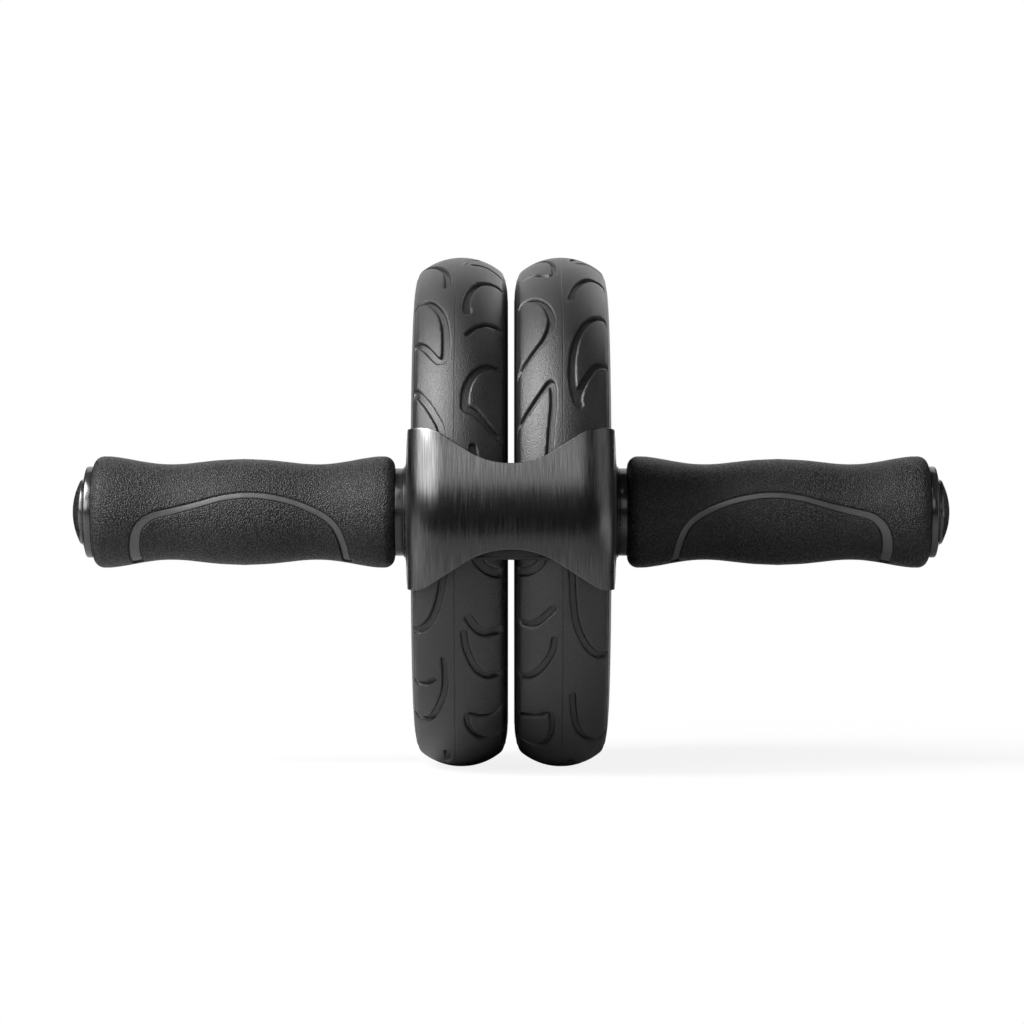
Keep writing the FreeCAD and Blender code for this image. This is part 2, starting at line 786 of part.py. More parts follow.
for side, sign in SIDES:
    ends = span(sign, SIZE.boss_face, COLLAR_START)
    item = tube(side + "_washer_ring", *ends, SIZE.collar_bore_radius, SIZE.collar_washer_radius)
    keep(item, side + "_collar_washer")
    ends = span(sign, COLLAR_START, SIZE.grip_start)
    item = tube(side + "_collar_ring", *ends, SIZE.collar_bore_radius, SIZE.collar_radius)
    keep(item, side + "_collar")

    core_section = [
        (SIZE.grip_start, 0),
        (SIZE.core_pocket_floor, 0),
        (SIZE.core_pocket_floor, SIZE.core_pocket_radius),
        (SIZE.core_end, SIZE.core_pocket_radius),
        (SIZE.core_end, SIZE.core_radius),
        (SIZE.grip_start, SIZE.core_radius),
    ]
    core = turned(side + "_core_sleeve", mirrored(sign, core_section))
    keep(cut(side + "_core_keyed", core, key), side + "_handle_core")

    blank = turned(side + "_grip_blank", mirrored(sign, grip_outline(0)))
    skin = turned(side + "_strip_face", mirrored(sign, grip_outline(SIZE.inlay_recess)))
    depth = SIZE.inlay_recess + SIZE.inlay_thickness
    floor = turned(side + "_strip_floor", mirrored(sign, grip_outline(depth)))
    arch = prism(
        side + "_arch",
        "XZ_Plane",
        mirrored(sign, INLAY_EDGES),
        SIZE.grip_end_radius + 2,
        symmetric=False,
    )
    groove = cut(side + "_strip_groove", arch, floor)
    keep(cut(side + "_grip_grooved", blank, groove), side + "_foam_grip")
    keep(common(side + "_strip", skin, groove), side + "_grip_inlay")

    washer_end = SIZE.core_pocket_floor + SIZE.washer_thickness
    ends = span(sign, SIZE.core_pocket_floor, washer_end)
    item = tube(side + "_washer_disc", *ends, SIZE.washer_bore_radius, SIZE.washer_radius)
    keep(item, side + "_end_washer")

    head_end = washer_end + SIZE.screw_head_height
    screw_section = [
        (washer_end - SIZE.screw_length, 0),
        (head_end, 0),
        (head_end, SIZE.screw_head_radius),
        (washer_end, SIZE.screw_head_radius),
        (washer_end, SIZE.screw_radius),
        (washer_end - SIZE.screw_length, SIZE.screw_radius),
    ]
    screw = turned(side + "_screw_body", mirrored(sign, screw_section))
    socket = doc.addObject("Part::Prism", side + "_socket")
    socket.Polygon = 6
    socket.Placement = FreeCAD.Placement(
        FreeCAD.Vector(), FreeCAD.Rotation(FreeCAD.Vector(0, 1, 0), 90)
    )
    low, high = span(sign, head_end - SIZE.socket_depth, head_end + 1)
    bind(socket, "Circumradius", SIZE.socket_radius)
    bind(socket, "Height", high - low)
    bind(socket, "Placement.Base.x", low)
    bind(socket, "Placement.Base.z", AXLE_HEIGHT)
    keep(cut(side + "_screw_socketed", screw, socket), side + "_end_screw")

    cap_section = [
        (SIZE.skirt_start, SIZE.skirt_bore_radius),
        (SIZE.cap_recess_floor, SIZE.skirt_bore_radius),
        (SIZE.cap_recess_floor, SIZE.cap_recess_radius),
        (SIZE.cap_lip, SIZE.cap_recess_radius),
        (SIZE.cap_lip, SIZE.cap_lip_radius),
        (SIZE.cap_shoulder, SIZE.cap_shoulder_radius, 1.6),
        (SIZE.cap_rim_end, SIZE.cap_radius),
        (SIZE.grip_end, SIZE.cap_radius),
        (SIZE.grip_end, SIZE.skirt_radius),
        (SIZE.skirt_start, SIZE.skirt_radius),
    ]
    keep(turned(side + "_cap_ring", mirrored(sign, cap_section)), side + "_end_cap")

    dome_height = SIZE.dome_top - SIZE.disc_edge
    dome_curve = (SIZE.disc_radius * SIZE.disc_radius + dome_height * dome_height) / (dome_height * 2)
    disc_section = [
        (SIZE.disc_back, 0),
        (SIZE.dome_top, 0, dome_curve),
        (SIZE.disc_edge, SIZE.disc_radius),
        (SIZE.cap_recess_floor, SIZE.disc_radius),
        (SIZE.cap_recess_floor, SIZE.disc_stem_radius),
        (SIZE.disc_stem_start, SIZE.disc_stem_radius),
        (SIZE.disc_stem_start, SIZE.disc_stem_bore),
        (SIZE.disc_back, SIZE.disc_stem_bore),
    ]
    keep(turned(side + "_dome", mirrored(sign, disc_section)), side + "_cap_disc")

doc.recompute()

faults = [item.Name for item in doc.Objects if "Invalid" in item.State or "Error" in item.State]
for item in SUB_PARTS:
    shape = item.Shape
    if shape.isNull() or not shape.isValid() or not shape.Solids:
        faults.append(item.Label)
if faults:
    raise RuntimeError("faulty: " + ", ".join(faults))

os.makedirs("parts", exist_ok=True)
for item in SUB_PARTS:
    item.Shape.exportStep(f"parts/{item.Label}.step")
    box_of = item.Shape.BoundBox
    print(
        f"{item.Label}: {len(item.Shape.Solids)} solids, {item.Shape.Volume:.0f} mm3, "
        f"X {box_of.XMin:.2f} {box_of.XMax:.2f} Y {box_of.YMin:.2f} {box_of.YMax:.2f} "
        f"Z {box_of.ZMin:.2f} {box_of.ZMax:.2f}"
    )
print(len(SUB_PARTS), "sub-parts")
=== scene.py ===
import math

import bpy
import numpy as np
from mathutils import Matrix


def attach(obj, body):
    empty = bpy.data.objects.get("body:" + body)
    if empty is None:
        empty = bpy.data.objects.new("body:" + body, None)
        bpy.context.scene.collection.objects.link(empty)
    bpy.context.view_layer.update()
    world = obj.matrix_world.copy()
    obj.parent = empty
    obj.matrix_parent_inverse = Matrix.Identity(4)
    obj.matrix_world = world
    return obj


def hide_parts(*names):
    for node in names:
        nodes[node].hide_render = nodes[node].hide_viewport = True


# An ab wheel roller, seen from the front along the direction of rolling. Sizes are in millimetres
# from the middle of the axle: x along it, y towards the back, z up. An angle round the axle is
# nought at the front and grows upwards.
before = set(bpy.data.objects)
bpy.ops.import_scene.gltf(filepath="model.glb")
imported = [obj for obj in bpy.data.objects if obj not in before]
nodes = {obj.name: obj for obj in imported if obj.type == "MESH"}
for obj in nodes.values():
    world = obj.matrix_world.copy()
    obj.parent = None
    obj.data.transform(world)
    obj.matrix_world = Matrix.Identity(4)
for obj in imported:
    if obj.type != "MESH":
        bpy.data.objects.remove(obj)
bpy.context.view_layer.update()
SIDES = {"left": -1, "right": 1}

# Axle, spacer tubes, end washers and end screws: drawn and turned steel, clamped end to end along
# the axle. Fine marks of the lathe run round them.


class Finish:
    """A surface finish: a Principled shader and the nodes that feed it, measured in millimetres."""

    def __init__(self, name, levels):
        self.material = bpy.data.materials.new(name)
        self.material.use_nodes = True
        self.tree = self.material.node_tree
        self.shader = self.tree.nodes["Principled BSDF"]
        for socket, level in levels.items():
            self.shader.inputs[socket].default_value = level

    def feed(self, socket, value):
        """Links a socket to an input, or puts a plain number or colour on it."""
        if isinstance(value, bpy.types.NodeSocket):
            self.tree.links.new(value, socket)
        else:
            socket.default_value = value

    def add(self, kind, inputs=None, output=0, **settings):
        """Adds one node, sets it up, feeds its inputs and gives one of its outputs."""
        node = self.tree.nodes.new("ShaderNode" + kind)
        for word, value in settings.items():
            setattr(node, word, value)
        for socket, value in (inputs or {}).items():
            self.feed(node.inputs[socket], value)
        return node.outputs[output]

    def surface(self, **sockets):
        """Feeds the shader itself: colour, rough, normal or tangent."""
        names = {"colour": "Base Color", "rough": "Roughness", "normal": "Normal", "tangent": "Tangent"}
        for word, value in sockets.items():
            self.feed(self.shader.inputs[names[word]], value)

    def place(self, stretch=(1, 1, 1)):
        """Object coordinates in millimetres, with each axis multiplied by its stretch."""
        scale = [1000 * share for share in stretch]
        return self.add("Mapping", {"Vector": self.add("TexCoord", output="Object"), "Scale": scale})

    def noise(self, where, size, detail=2.0, rough=0.5):
        """Cloudy noise with blotches about size across."""
        inputs = {"Vector": where, "Scale": 1 / size, "Detail": detail, "Roughness": rough}
        return self.add("TexNoise", inputs)

    def cells(self, where, size):
        """Distance from the middles of irregular cells about size across."""
        return self.add("TexVoronoi", {"Vector": where, "Scale": 1 / size})

    def spread(self, value, low, high, start, end):
        """Carries value from the range low to high over to start to end, and stops at both."""
        inputs = {"Value": value, "From Min": low, "From Max": high, "To Min": start, "To Max": end}
        return self.add("MapRange", inputs)

    def sums(self, action, first, second):
        """Works out one step of arithmetic, such as ADD or MULTIPLY, from two numbers."""
        return self.add("Math", {0: first, 1: second}, operation=action)

    def between(self, share, first, second):
        """The colour that lies share of the way from the first grey to the second."""
        colours = {0: share, 6: (*first, 1), 7: (*second, 1)}
        return self.add("Mix", colours, output=2, data_type="RGBA")

    def relief(self, height, depth, under=None):
        """Bump in which a height of one stands for depth millimetres."""
        inputs = {"Height": height, "Distance": depth / 1000, "Strength": 1.0}
        if under is not None:
            inputs["Normal"] = under
        return self.add("Bump", inputs)

    def dress(self, *names):
        """Puts the finish on nodes of the frame."""
        for name in names:
            for slot in nodes[name].material_slots:
                slot.material = self.material


def turned_steel(name, colour, rough):
    """Bright steel with lathe marks: noise drawn out round the bar and fine along it."""
    steel = Finish(name, {"Metallic": 1.0})
    marks = steel.noise(steel.place((6, 0.15, 0.15)), 1.0, 3.0)
    smear = steel.noise(steel.place(), 7.0)
    shade = steel.spread(smear, 0.3, 0.7, 0.0, 1.0)
    steel.surface(
        colour=steel.between(shade, [0.8 * c for c in colour], colour),
        rough=steel.spread(marks, 0.3, 0.7, rough, rough + 0.14),
        normal=steel.relief(marks, 0.01),
    )
    return steel


shaft_steel = turned_steel("shaft_steel", (0.60, 0.60, 0.61), 0.24)
shaft_steel.dress("axle", "centre_spacer")
for side in SIDES:
    for word in ("bearing_spacer", "outer_spacer", "end_washer", "end_screw"):
        shaft_steel.dress(f"{side}_{word}")

# Ball bearings, two in each wheel: ground and polished rings, balls and pressed shields, with a
# dark moulded cage between the balls. They are pressed into the hub.
race_steel = turned_steel("race_steel", (0.70, 0.70, 0.71), 0.12)
cage_nylon = Finish("cage_nylon", {"Specular IOR Level": 0.4})
speck = cage_nylon.noise(cage_nylon.place(), 0.4)
cage_nylon.surface(
    colour=cage_nylon.between(speck, (0.016, 0.016, 0.017), (0.026, 0.026, 0.027)),
    rough=cage_nylon.spread(speck, 0.3, 0.7, 0.42, 0.58),
    normal=cage_nylon.relief(speck, 0.02),
)
for side in SIDES:
    for place in ("inner", "outer"):
        for word in ("inner_ring", "outer_ring", "balls", "shields"):
            race_steel.dress(f"{side}_{place}_bearing_{word}")
        cage_nylon.dress(f"{side}_{place}_bearing_cage")

# Wheel rims: hub, web, ribs and rim moulded in one piece of hard black plastic. The skin has the
# fine spark texture of the mould, is rubbed a little brighter in places, and its edges are soft.
rim_plastic = Finish("rim_plastic", {"Specular IOR Level": 0.45})
grain = rim_plastic.noise(rim_plastic.place(), 0.35, 3.0)
flow = rim_plastic.noise(rim_plastic.place(), 14.0, 3.0)
soft_edge = rim_plastic.add("Bevel", {"Radius": 0.0007}, samples=4)
rim_plastic.surface(
    colour=rim_plastic.between(flow, (0.019, 0.019, 0.020), (0.034, 0.034, 0.035)),
    rough=rim_plastic.spread(flow, 0.3, 0.7, 0.40, 0.56),
    normal=rim_plastic.relief(grain, 0.03, soft_edge),
)
for side in SIDES:
    rim_plastic.dress(f"{side}_wheel_rim")

# Tyres: black rubber, moulded in two halves that leave a fine seam round the tread, and pushed over
# the rim. The tread is crowned, and curved grooves with steep walls run out over its shoulders.
MM = 0.001
AXLE_HEIGHT = 95.0
TYRE_RADIUS = 95.0
TYRE_CENTRE = 18.5
CROWN_CURVE = 23.2
CROWN_POINTS = 30
CROWN_MARGIN = 0.3
TREAD_EDGE = 14.4
SHOULDER_CURVE = 4.3
SHOULDER_LEAN = math.radians(71.5)
SIDEWALL_WIDEST = 17.25
SIDEWALL_RADIUS = 80.0
SIDEWALL_BULGE = 43.0
BEAD_MIDDLE = (13.8, 76.0)
BEAD_ROUND = 3.0
BEAD_RADIUS = 73.0
SEAT_RADIUS = 78.0
SEAT_HALF_WIDTH = 13.5
GROOVE_DEPTH = 1.35
GROOVE_WALL = 0.42
GROOVE_END = 2.6
GROOVE_CIRCLE = 93.0
GROOVE_REACH = 4.0
FAR_OFF = 9.0
STEEPEST_LEAN = 0.9
LEVEL_LIMIT = 0.05
CREASE_ANGLE = math.radians(35)
TYRE_STEPS = 864

# Each groove is its width, or its widths at both ends, and then points along its middle line: the
# angle round the axle in degrees and the distance from the tyre's middle plane. The front half of
# the tyre is drawn, and the back half repeats it.
LEFT_GROOVES = (
    ((1.6, 3.0), (88, -17), (80, -12.1), (74, -8.3), (69, -5.7), (65, -4.8), (60, -4.7)),
    ((1.9, 3.1), (57, -18), (56.5, -14), (55, -11), (50.5, -7.4), (46, -5.5), (41, -4.9)),
    ((3.1, 2.6), (41, -4.9), (36.5, -5.1), (35, -6.4), (36, -8.6), (40, -12.5), (42, -15.3), (42, -18)),
    (3.0, (28.5, -18), (28, -15.2), (22, -9.3), (16, -5.9), (0, -4.8), (-14, -5.9), (-22, -8.4),
     (-27, -12.8), (-29, -18)),
    (2.1, (-44, -18), (-43, -14.3), (-42, -11.6), (-40, -8.9)),
    ((2.5, 2.7), (-34, -5.7), (-38, -5.3), (-43, -5.6), (-50, -8.4), (-54.5, -11.6), (-57, -18)),
    (2.9, (-68, -4.7), (-75, -5.0), (-83, -7.5), (-89, -12), (-93, -17)),
    (2.2, (73, 1.0), (78, 2.7), (84, 6.5)),
    (1.9, (74, 4.4), (75, 7.5), (75, 11), (73, 17)),
    ((3.4, 2.2), (49.5, 2.8), (52, 2.3), (56, 3.0), (60.5, 5.6), (63, 8.6), (64.5, 12.8), (64, 18)),
    (2.2, (42.2, 2.7), (44, 4.8), (45.5, 7.6), (46.5, 10.3), (47, 18)),
    ((2.6, 3.4), (34, 18), (34.2, 13), (33.5, 9), (31, 5.0), (27.5, 2.6), (24, 2.1), (23, 2.4)),
    ((3.2, 2.6), (23, 2.4), (22, 5.8), (20, 9.2), (17.5, 13), (15.5, 18)),
    (3.0, (14, 5.0), (9, 6.4), (4, 10), (2, 18)),
    (3.6, (-4, 4.6), (-9.5, 6.1), (-12.2, 9.2), (-13.8, 13.5), (-14, 18)),
    (3.4, (-23.4, 3.4), (-26, 6.2), (-27.6, 10), (-28, 18)),
    (2.8, (-27, 1.7), (-31, 2.6), (-36, 5.6), (-39, 9.4), (-40, 13), (-40, 18)),
    (2.3, (-50, 18), (-52.6, 12.5), (-52, 8), (-50.3, 4), (-51, 2.6), (-54.5, 3.0), (-59.5, 5.9),
     (-62.5, 10), (-62.5, 18)),
)
RIGHT_GROOVES = (
    (2.1, (83, -9), (80, -6.2), (75, -3.4), (69, -2.9), (65.8, -3.9), (67, -7.5), (69.5, -11), (71, -17)),
    ((1.7, 3.0), (55, -18), (57, -14), (56, -10.4), (52.5, -6.3), (47.5, -4.1), (44, -4.5)),
    ((3.0, 2.4), (44, -4.5), (41, -6.6), (38, -10.4), (34, -15.5), (32, -18)),
    ((2.3, 2.7), (18, -18), (22, -13.4), (27, -7.4), (29, -4.9), (28.4, -3.8), (24, -3.5), (17, -4.5),
     (6, -5.6)),
    (2.4, (78.5, 2.8), (82, 4.6)),
    (1.7, (76.5, 5.8), (79.5, 9), (80, 12.2), (77, 17)),
    ((3.0, 2.2), (54.5, 3.1), (57.5, 3.9), (62, 6.3), (66, 10), (67, 14), (66, 18)),
    ((2.1, 3.2), (50, 18), (50.3, 13.5), (47, 9), (42, 5.5), (36, 3.6), (30, 3.3), (25.5, 4.5), (24, 5.8)),
    ((3.0, 2.5), (24.3, 5.4), (27, 6.0), (31, 8.6), (35, 12.6), (36, 18)),
    (2.8, (3, 3.1), (-8, 3.1), (-18, 3.5), (-25, 4.9), (-31, 8.7), (-34.4, 13), (-35, 15.9)),
    (2.6, (-44, 3.7), (-49, 4.0), (-56, 5.5), (-62, 8.8), (-65.5, 13), (-65.5, 18)),
    (2.6, (-75, 3.4), (-80, 4.4), (-86, 8), (-92, 13), (-95, 18)),
    (3.6, (-4, -5.6), (-10, -7.6), (-12.4, -10.2), (-13.7, -14.7), (-13.8, -18)),
    (2.8, (-21.3, -3.6), (-23.5, -6.9), (-25.5, -10.5), (-26, -14), (-25.6, -18)),
    ((2.5, 3.2), (-28.5, -3.1), (-32, -4.0), (-36, -7.2), (-39.5, -11.4), (-41, -15.2), (-40.5, -18)),
    (2.3, (-57, -18), (-54, -13.5), (-52.3, -9), (-50.4, -5.6), (-51.6, -4.0), (-57, -3.9), (-62, -5.4),
     (-66.5, -9.6), (-68, -18)),
)


def smooth_curve(points, steps=12):
    """Catmull-Rom curve: between two points runs the cubic whose slope at each of them is half the
    step from the point before it to the point after it."""
    p = np.asarray(points, float)
    p = np.vstack([2 * p[0] - p[1], p, 2 * p[-1] - p[-2]])
    before, start, end, after = (p[i:len(p) - 3 + i, None] for i in range(4))
    t = np.linspace(0, 1, steps, endpoint=False)[None, :, None]
    linear = (end - before) * t
    square = (2 * before - 5 * start + 4 * end - after) * t**2
    cube = (3 * start - before - 3 * end + after) * t**3
    curve = start + 0.5 * (linear + square + cube)
    return np.vstack([curve.reshape(-1, p.shape[1]), p[-2]])


def groove_line(groove):
    """Middle line of a groove on the flat tread: distance round, distance across, and width."""
    widths, *points = groove
    ends = widths if isinstance(widths, tuple) else (widths, widths)
    angle, across = np.array(points, float).T
    flat = np.stack([GROOVE_CIRCLE * np.radians(angle), CROWN_CURVE * np.arcsin(across / CROWN_CURVE)], 1)
    line = smooth_curve(flat)
    return np.column_stack([line, np.linspace(*ends, len(line))])


def wall_distance(along, across, lines):
    """Distance of each flat point from the nearest groove wall, below nought inside a groove, and
    the direction that leads straight away from that groove's middle line."""
    distance = np.full(along.shape, FAR_OFF)
    away = np.zeros(along.shape + (2,))
    for line in lines:
        low, high = line.min(0) - GROOVE_REACH, line.max(0) + GROOVE_REACH
        near = (along > low[0]) & (along < high[0]) & (across > low[1]) & (across < high[1])
        point = np.stack([along[near], across[near]], 1)
        if not len(point):
            continue
        start, run = line[:-1, :2], np.diff(line[:, :2], axis=0)
        share = ((point[:, None] - start) * run).sum(2) / (run**2).sum(1)
        share = share.clip(0, 1)
        gap = point[:, None] - start - share[..., None] * run
        half = (line[:-1, 2] + share * np.diff(line[:, 2])) / 2
        length = np.hypot(gap[..., 0], gap[..., 1])
        nearest = (length - half).argmin(1)
        row = np.arange(len(point))
        found = (length - half)[row, nearest]
        lead = gap[row, nearest] / np.maximum(length[row, nearest], 1e-6)[:, None]
        closer = found < distance[near]
        away[near] = np.where(closer[:, None], lead, away[near])
        distance[near] = np.minimum(found, distance[near])
    return distance, away


def carve(along, across, lines, wall, spacing):
    """Draws the points nearest to a groove's edge on to it and the next ones on to its foot, so that
    both run clean, and gives the moved points and how far down each lies, from nought to one. Points
    that lie within half a step of the grid are the nearest."""
    distance, away = wall_distance(along, across, lines)
    step = (np.abs(away) * spacing).max(-1)
    target = np.where(np.abs(distance) < step / 2, 0.0, distance)
    target = np.where((distance <= -step / 2) & (distance > -1.5 * step), -wall, target)
    move = (target - distance)[..., None] * away
    return along + move[..., 0], across + move[..., 1], (-target / wall).clip(0, 1)


def tyre_section():
    """Half of the section from the middle of the tread to the middle of the rim seat: crown arc,
    tighter shoulder arc, sidewall that bulges as a parabola and carries two raised rings, bead, seat."""
    lean = np.linspace(0, math.asin(TREAD_EDGE / CROWN_CURVE), CROWN_POINTS)
    crown = np.stack([CROWN_CURVE * np.sin(lean), TYRE_RADIUS - CROWN_CURVE * (1 - np.cos(lean))], 1)
    turn = np.linspace(lean[-1], SHOULDER_LEAN, 5)[1:-1]
    arc = np.stack([np.sin(turn) - math.sin(lean[-1]), np.cos(turn) - math.cos(lean[-1])], 1)
    shoulder = crown[-1] + SHOULDER_CURVE * arc
    rings = np.array([
        (87.3, 0), (86.9, 0), (86.7, 0.12), (86.1, 0.12), (85.9, 0), (84.5, 0), (82.5, 0), (80.6, 0),
        (79.4, 0), (79.1, 0.1), (78.3, 0.1), (78.0, 0), (77.0, 0), (76.0, 0),
    ])
    bulge = np.maximum(rings[:, 0] - SIDEWALL_RADIUS, 0)
    wall = np.stack([SIDEWALL_WIDEST - bulge**2 / SIDEWALL_BULGE + rings[:, 1], rings[:, 0]], 1)
    turn = np.radians([25, 50, 75, 90])
    bead = BEAD_ROUND * np.stack([np.cos(turn), -np.sin(turn)], 1) + BEAD_MIDDLE
    seat = np.array([
        (SEAT_HALF_WIDTH, BEAD_RADIUS), (SEAT_HALF_WIDTH, SEAT_RADIUS), (7, SEAT_RADIUS), (0, SEAT_RADIUS),
    ])
    return np.vstack([crown, shoulder, wall, bead, seat])


def grid_faces(rows, columns, loop_rows=False, loop_columns=False):
    """Four-cornered faces of a grid of points, which may close on itself in either direction."""
    i = np.arange(rows if loop_rows else rows - 1)[:, None]
    j = np.arange(columns if loop_columns else columns - 1)[None, :]
    up, over = (i + 1) % rows, (j + 1) % columns
    corners = (i * columns + j, i * columns + over, up * columns + over, up * columns + j)
    return np.stack(np.broadcast_arrays(*corners), -1).reshape(-1, 4)


def add_piece(name, points, faces, finish):
    """Puts points in millimetres from the axle, and groups of faces with equal numbers of corners,
    into a smooth mesh in metres. The faces of a closed mesh are turned outwards."""
    points = np.asarray(points, float).reshape(-1, 3)
    volume = 0.0
    for group in faces:
        corner = points[group]
        fan = np.cross(corner[:, 1:-1], corner[:, 2:])
        volume += (corner[:, :1] * fan).sum()
    if volume < 0:
        faces = [group[:, ::-1] for group in faces]
    corners = np.concatenate([group.ravel() for group in faces]).astype(np.int32)
    sizes = np.concatenate([np.full(len(group), group.shape[1]) for group in faces])
    mesh = bpy.data.meshes.new(name)
    mesh.vertices.add(len(points))
    mesh.vertices.foreach_set("co", ((points + (0, 0, AXLE_HEIGHT)) * MM).astype(np.float32).ravel())
    mesh.loops.add(len(corners))
    mesh.loops.foreach_set("vertex_index", corners)
    mesh.polygons.add(len(sizes))
    mesh.polygons.foreach_set("loop_start", (np.cumsum(sizes) - sizes).astype(np.int32))
    mesh.polygons.foreach_set("use_smooth", np.ones(len(sizes), bool))
    mesh.update(calc_edges=True)
    mesh.validate()
    mesh.materials.append(finish.material)
    piece = bpy.data.objects.new(name, mesh)
    bpy.context.scene.collection.objects.link(piece)
    return piece


def mark_points(piece, word, values):
    """Keeps one number for each point of a piece, for its finish to read."""
    layer = piece.data.attributes.new(word, "FLOAT", "POINT")
    layer.data.foreach_set("value", np.asarray(values, np.float32).ravel())


def tyre_points(side, grooves, tread_left, tread_right):
    """The section is laid flat as a length across, carried round in equal angles, carved, and bent
    back: a point at angle a goes to (x, -r cos a, r sin a), pressed in along the section's normal.
    The grooves run out at the lengths tread_left and tread_right from the middle."""
    half = tyre_section()
    section = np.vstack([half, half[-2:0:-1] * (-1, 1)])
    reach = np.concatenate([[0], np.cumsum(np.hypot(*np.diff(half, axis=0).T))])
    flat = np.concatenate([reach, -reach[-2:0:-1]])
    angle = np.linspace(-math.pi, math.pi, TYRE_STEPS, endpoint=False)
    across, along = np.meshgrid(flat, GROOVE_CIRCLE * angle)
    turn = GROOVE_CIRCLE * math.pi
    lines = [groove_line(g) + (shift, 0, 0) for g in grooves for shift in (-turn, 0, turn)]
    tread = np.where(across < 0, tread_left, tread_right)
    on_tread = np.abs(across) < tread
    spacing = (2 * turn / TYRE_STEPS, reach[1])
    moved_along, moved_across, depth = carve(along, across, lines, GROOVE_WALL, spacing)
    along = np.where(on_tread, moved_along, along)
    crown_end = reach[CROWN_POINTS - 1]
    crown = on_tread & (np.abs(across) < crown_end - CROWN_MARGIN)
    moved_across = moved_across.clip(-crown_end, crown_end)
    across = np.where(crown, moved_across, across)
    depth = depth * np.clip((tread - np.abs(across)) / GROOVE_END, 0, 1)
    lean = across / CROWN_CURVE
    wide = np.where(crown, CROWN_CURVE * np.sin(lean), section[None, :, 0])
    tall = np.where(crown, TYRE_RADIUS - CROWN_CURVE * (1 - np.cos(lean)), section[None, :, 1])
    lean = lean.clip(-STEEPEST_LEAN, STEEPEST_LEAN)
    press = GROOVE_DEPTH * depth
    wide, tall = wide - press * np.sin(lean), tall - press * np.cos(lean)
    angle = along / GROOVE_CIRCLE
    x = SIDES[side] * TYRE_CENTRE + wide
    return np.stack([x, -tall * np.cos(angle), tall * np.sin(angle)], -1), depth, across


def cut_faces(faces, depth):
    """Cuts each face that isn't level or an even slope along the diagonal that joins the corners
    nearest in depth, so that the edge and the foot of a groove run along sides of faces."""
    level = depth.ravel()[faces]
    twist = level[:, 0] - level[:, 1] + level[:, 2] - level[:, 3]
    other = np.abs(level[:, 0] - level[:, 2]) > np.abs(level[:, 1] - level[:, 3])
    faces = np.where(other[:, None], np.roll(faces, 1, axis=1), faces)
    uneven = np.abs(twist) > LEVEL_LIMIT
    cut = faces[uneven]
    return [faces[~uneven], cut[:, [0, 1, 2]], cut[:, [0, 2, 3]]]


def sharpen_feet(piece, depth):
    """Shades the foot of each groove as a sharp crease and leaves its upper edge soft."""
    mesh = piece.data
    mesh.set_sharp_from_angle(angle=CREASE_ANGLE)
    ends = np.zeros(2 * len(mesh.edges), np.int32)
    mesh.edges.foreach_get("vertices", ends)
    crease = np.zeros(len(mesh.edges), bool)
    mesh.attributes["sharp_edge"].data.foreach_get("value", crease)
    crease &= (depth.ravel()[ends.reshape(-1, 2)] > 0.5).all(1)
    mesh.attributes["sharp_edge"].data.foreach_set("value", crease)


rubber = Finish("tyre_rubber", {"Specular IOR Level": 0.56})
where = rubber.place()
speck = rubber.noise(where, 0.46, 2.0, 0.6)
blotch = rubber.noise(where, 9.0, 3.0)
sunk = rubber.add("Attribute", output="Fac", attribute_name="sunk")
from_seam = rubber.sums("ABSOLUTE", rubber.add("Attribute", output="Fac", attribute_name="from_seam"), 0)
seam = rubber.spread(from_seam, 0.10, 0.24, 1.0, 0.0)
faded = rubber.spread(blotch, 0.2, 0.8, 0.6, 1.0)
bloom = rubber.sums("MULTIPLY", rubber.spread(speck, 0.35, 0.7, 0.2, 1.0), faded)
# Painted shade: wall marks the middle of each groove wall, and the colour is darkened there, where shade
# falls in the grooves. The speck and the dark seam line are the rubber's own.
half_sunk = rubber.sums("ABSOLUTE", rubber.sums("SUBTRACT", sunk, 0.5), 0)
wall = rubber.spread(half_sunk, 0.15, 0.5, 1.0, 0.0)
speck_seam_and_painted_wall_shade = rubber.sums("SUBTRACT", rubber.sums("SUBTRACT", bloom, wall), seam)
height = rubber.sums("SUBTRACT", rubber.sums("MULTIPLY", speck, 0.55), rubber.sums("MULTIPLY", seam, 0.35))
speck_seam_and_painted_wall_shade = rubber.spread(speck_seam_and_painted_wall_shade, 0.0, 1.0, 0.0, 1.0)
worn = rubber.spread(blotch, 0.3, 0.7, 0.31, 0.35)
rubber.surface(
    colour=rubber.between(speck_seam_and_painted_wall_shade, (0.004, 0.004, 0.0041), (0.018, 0.018, 0.0184)),
    rough=rubber.sums("ADD", worn, rubber.spread(speck, 0.3, 0.7, 0.0, 0.08)),
    normal=rubber.relief(height, 0.38),
)
for side, grooves, tread, seam_line in (
    ("left", LEFT_GROOVES, (20.2, 17.4), -1.65),
    ("right", RIGHT_GROOVES, (19.2, 19.0), 0.0),
):
    points, depth, from_middle = tyre_points(side, grooves, *tread)
    faces = cut_faces(grid_faces(*points.shape[:2], True, True), depth)
    tyre = add_piece(f"{side}_tyre_moulding", points, faces, rubber)
    mark_points(tyre, "sunk", depth)
    mark_points(tyre, "from_seam", from_middle - seam_line)
    sharpen_feet(tyre, depth)
    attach(tyre, f"{side}_wheel")
    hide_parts(f"{side}_tyre")

# Liner: a black moulded strip that stiffens the guard from inside, across both tyres. Its lower
# edge is fully rounded and shows below the dip of the guard.
LINER_INSIDE = 95.8
LINER_OUTSIDE = 98.25
LINER_HALF_WIDTH = 26.0
LINER_TOP = 15.5
LINER_LOW = 16.9


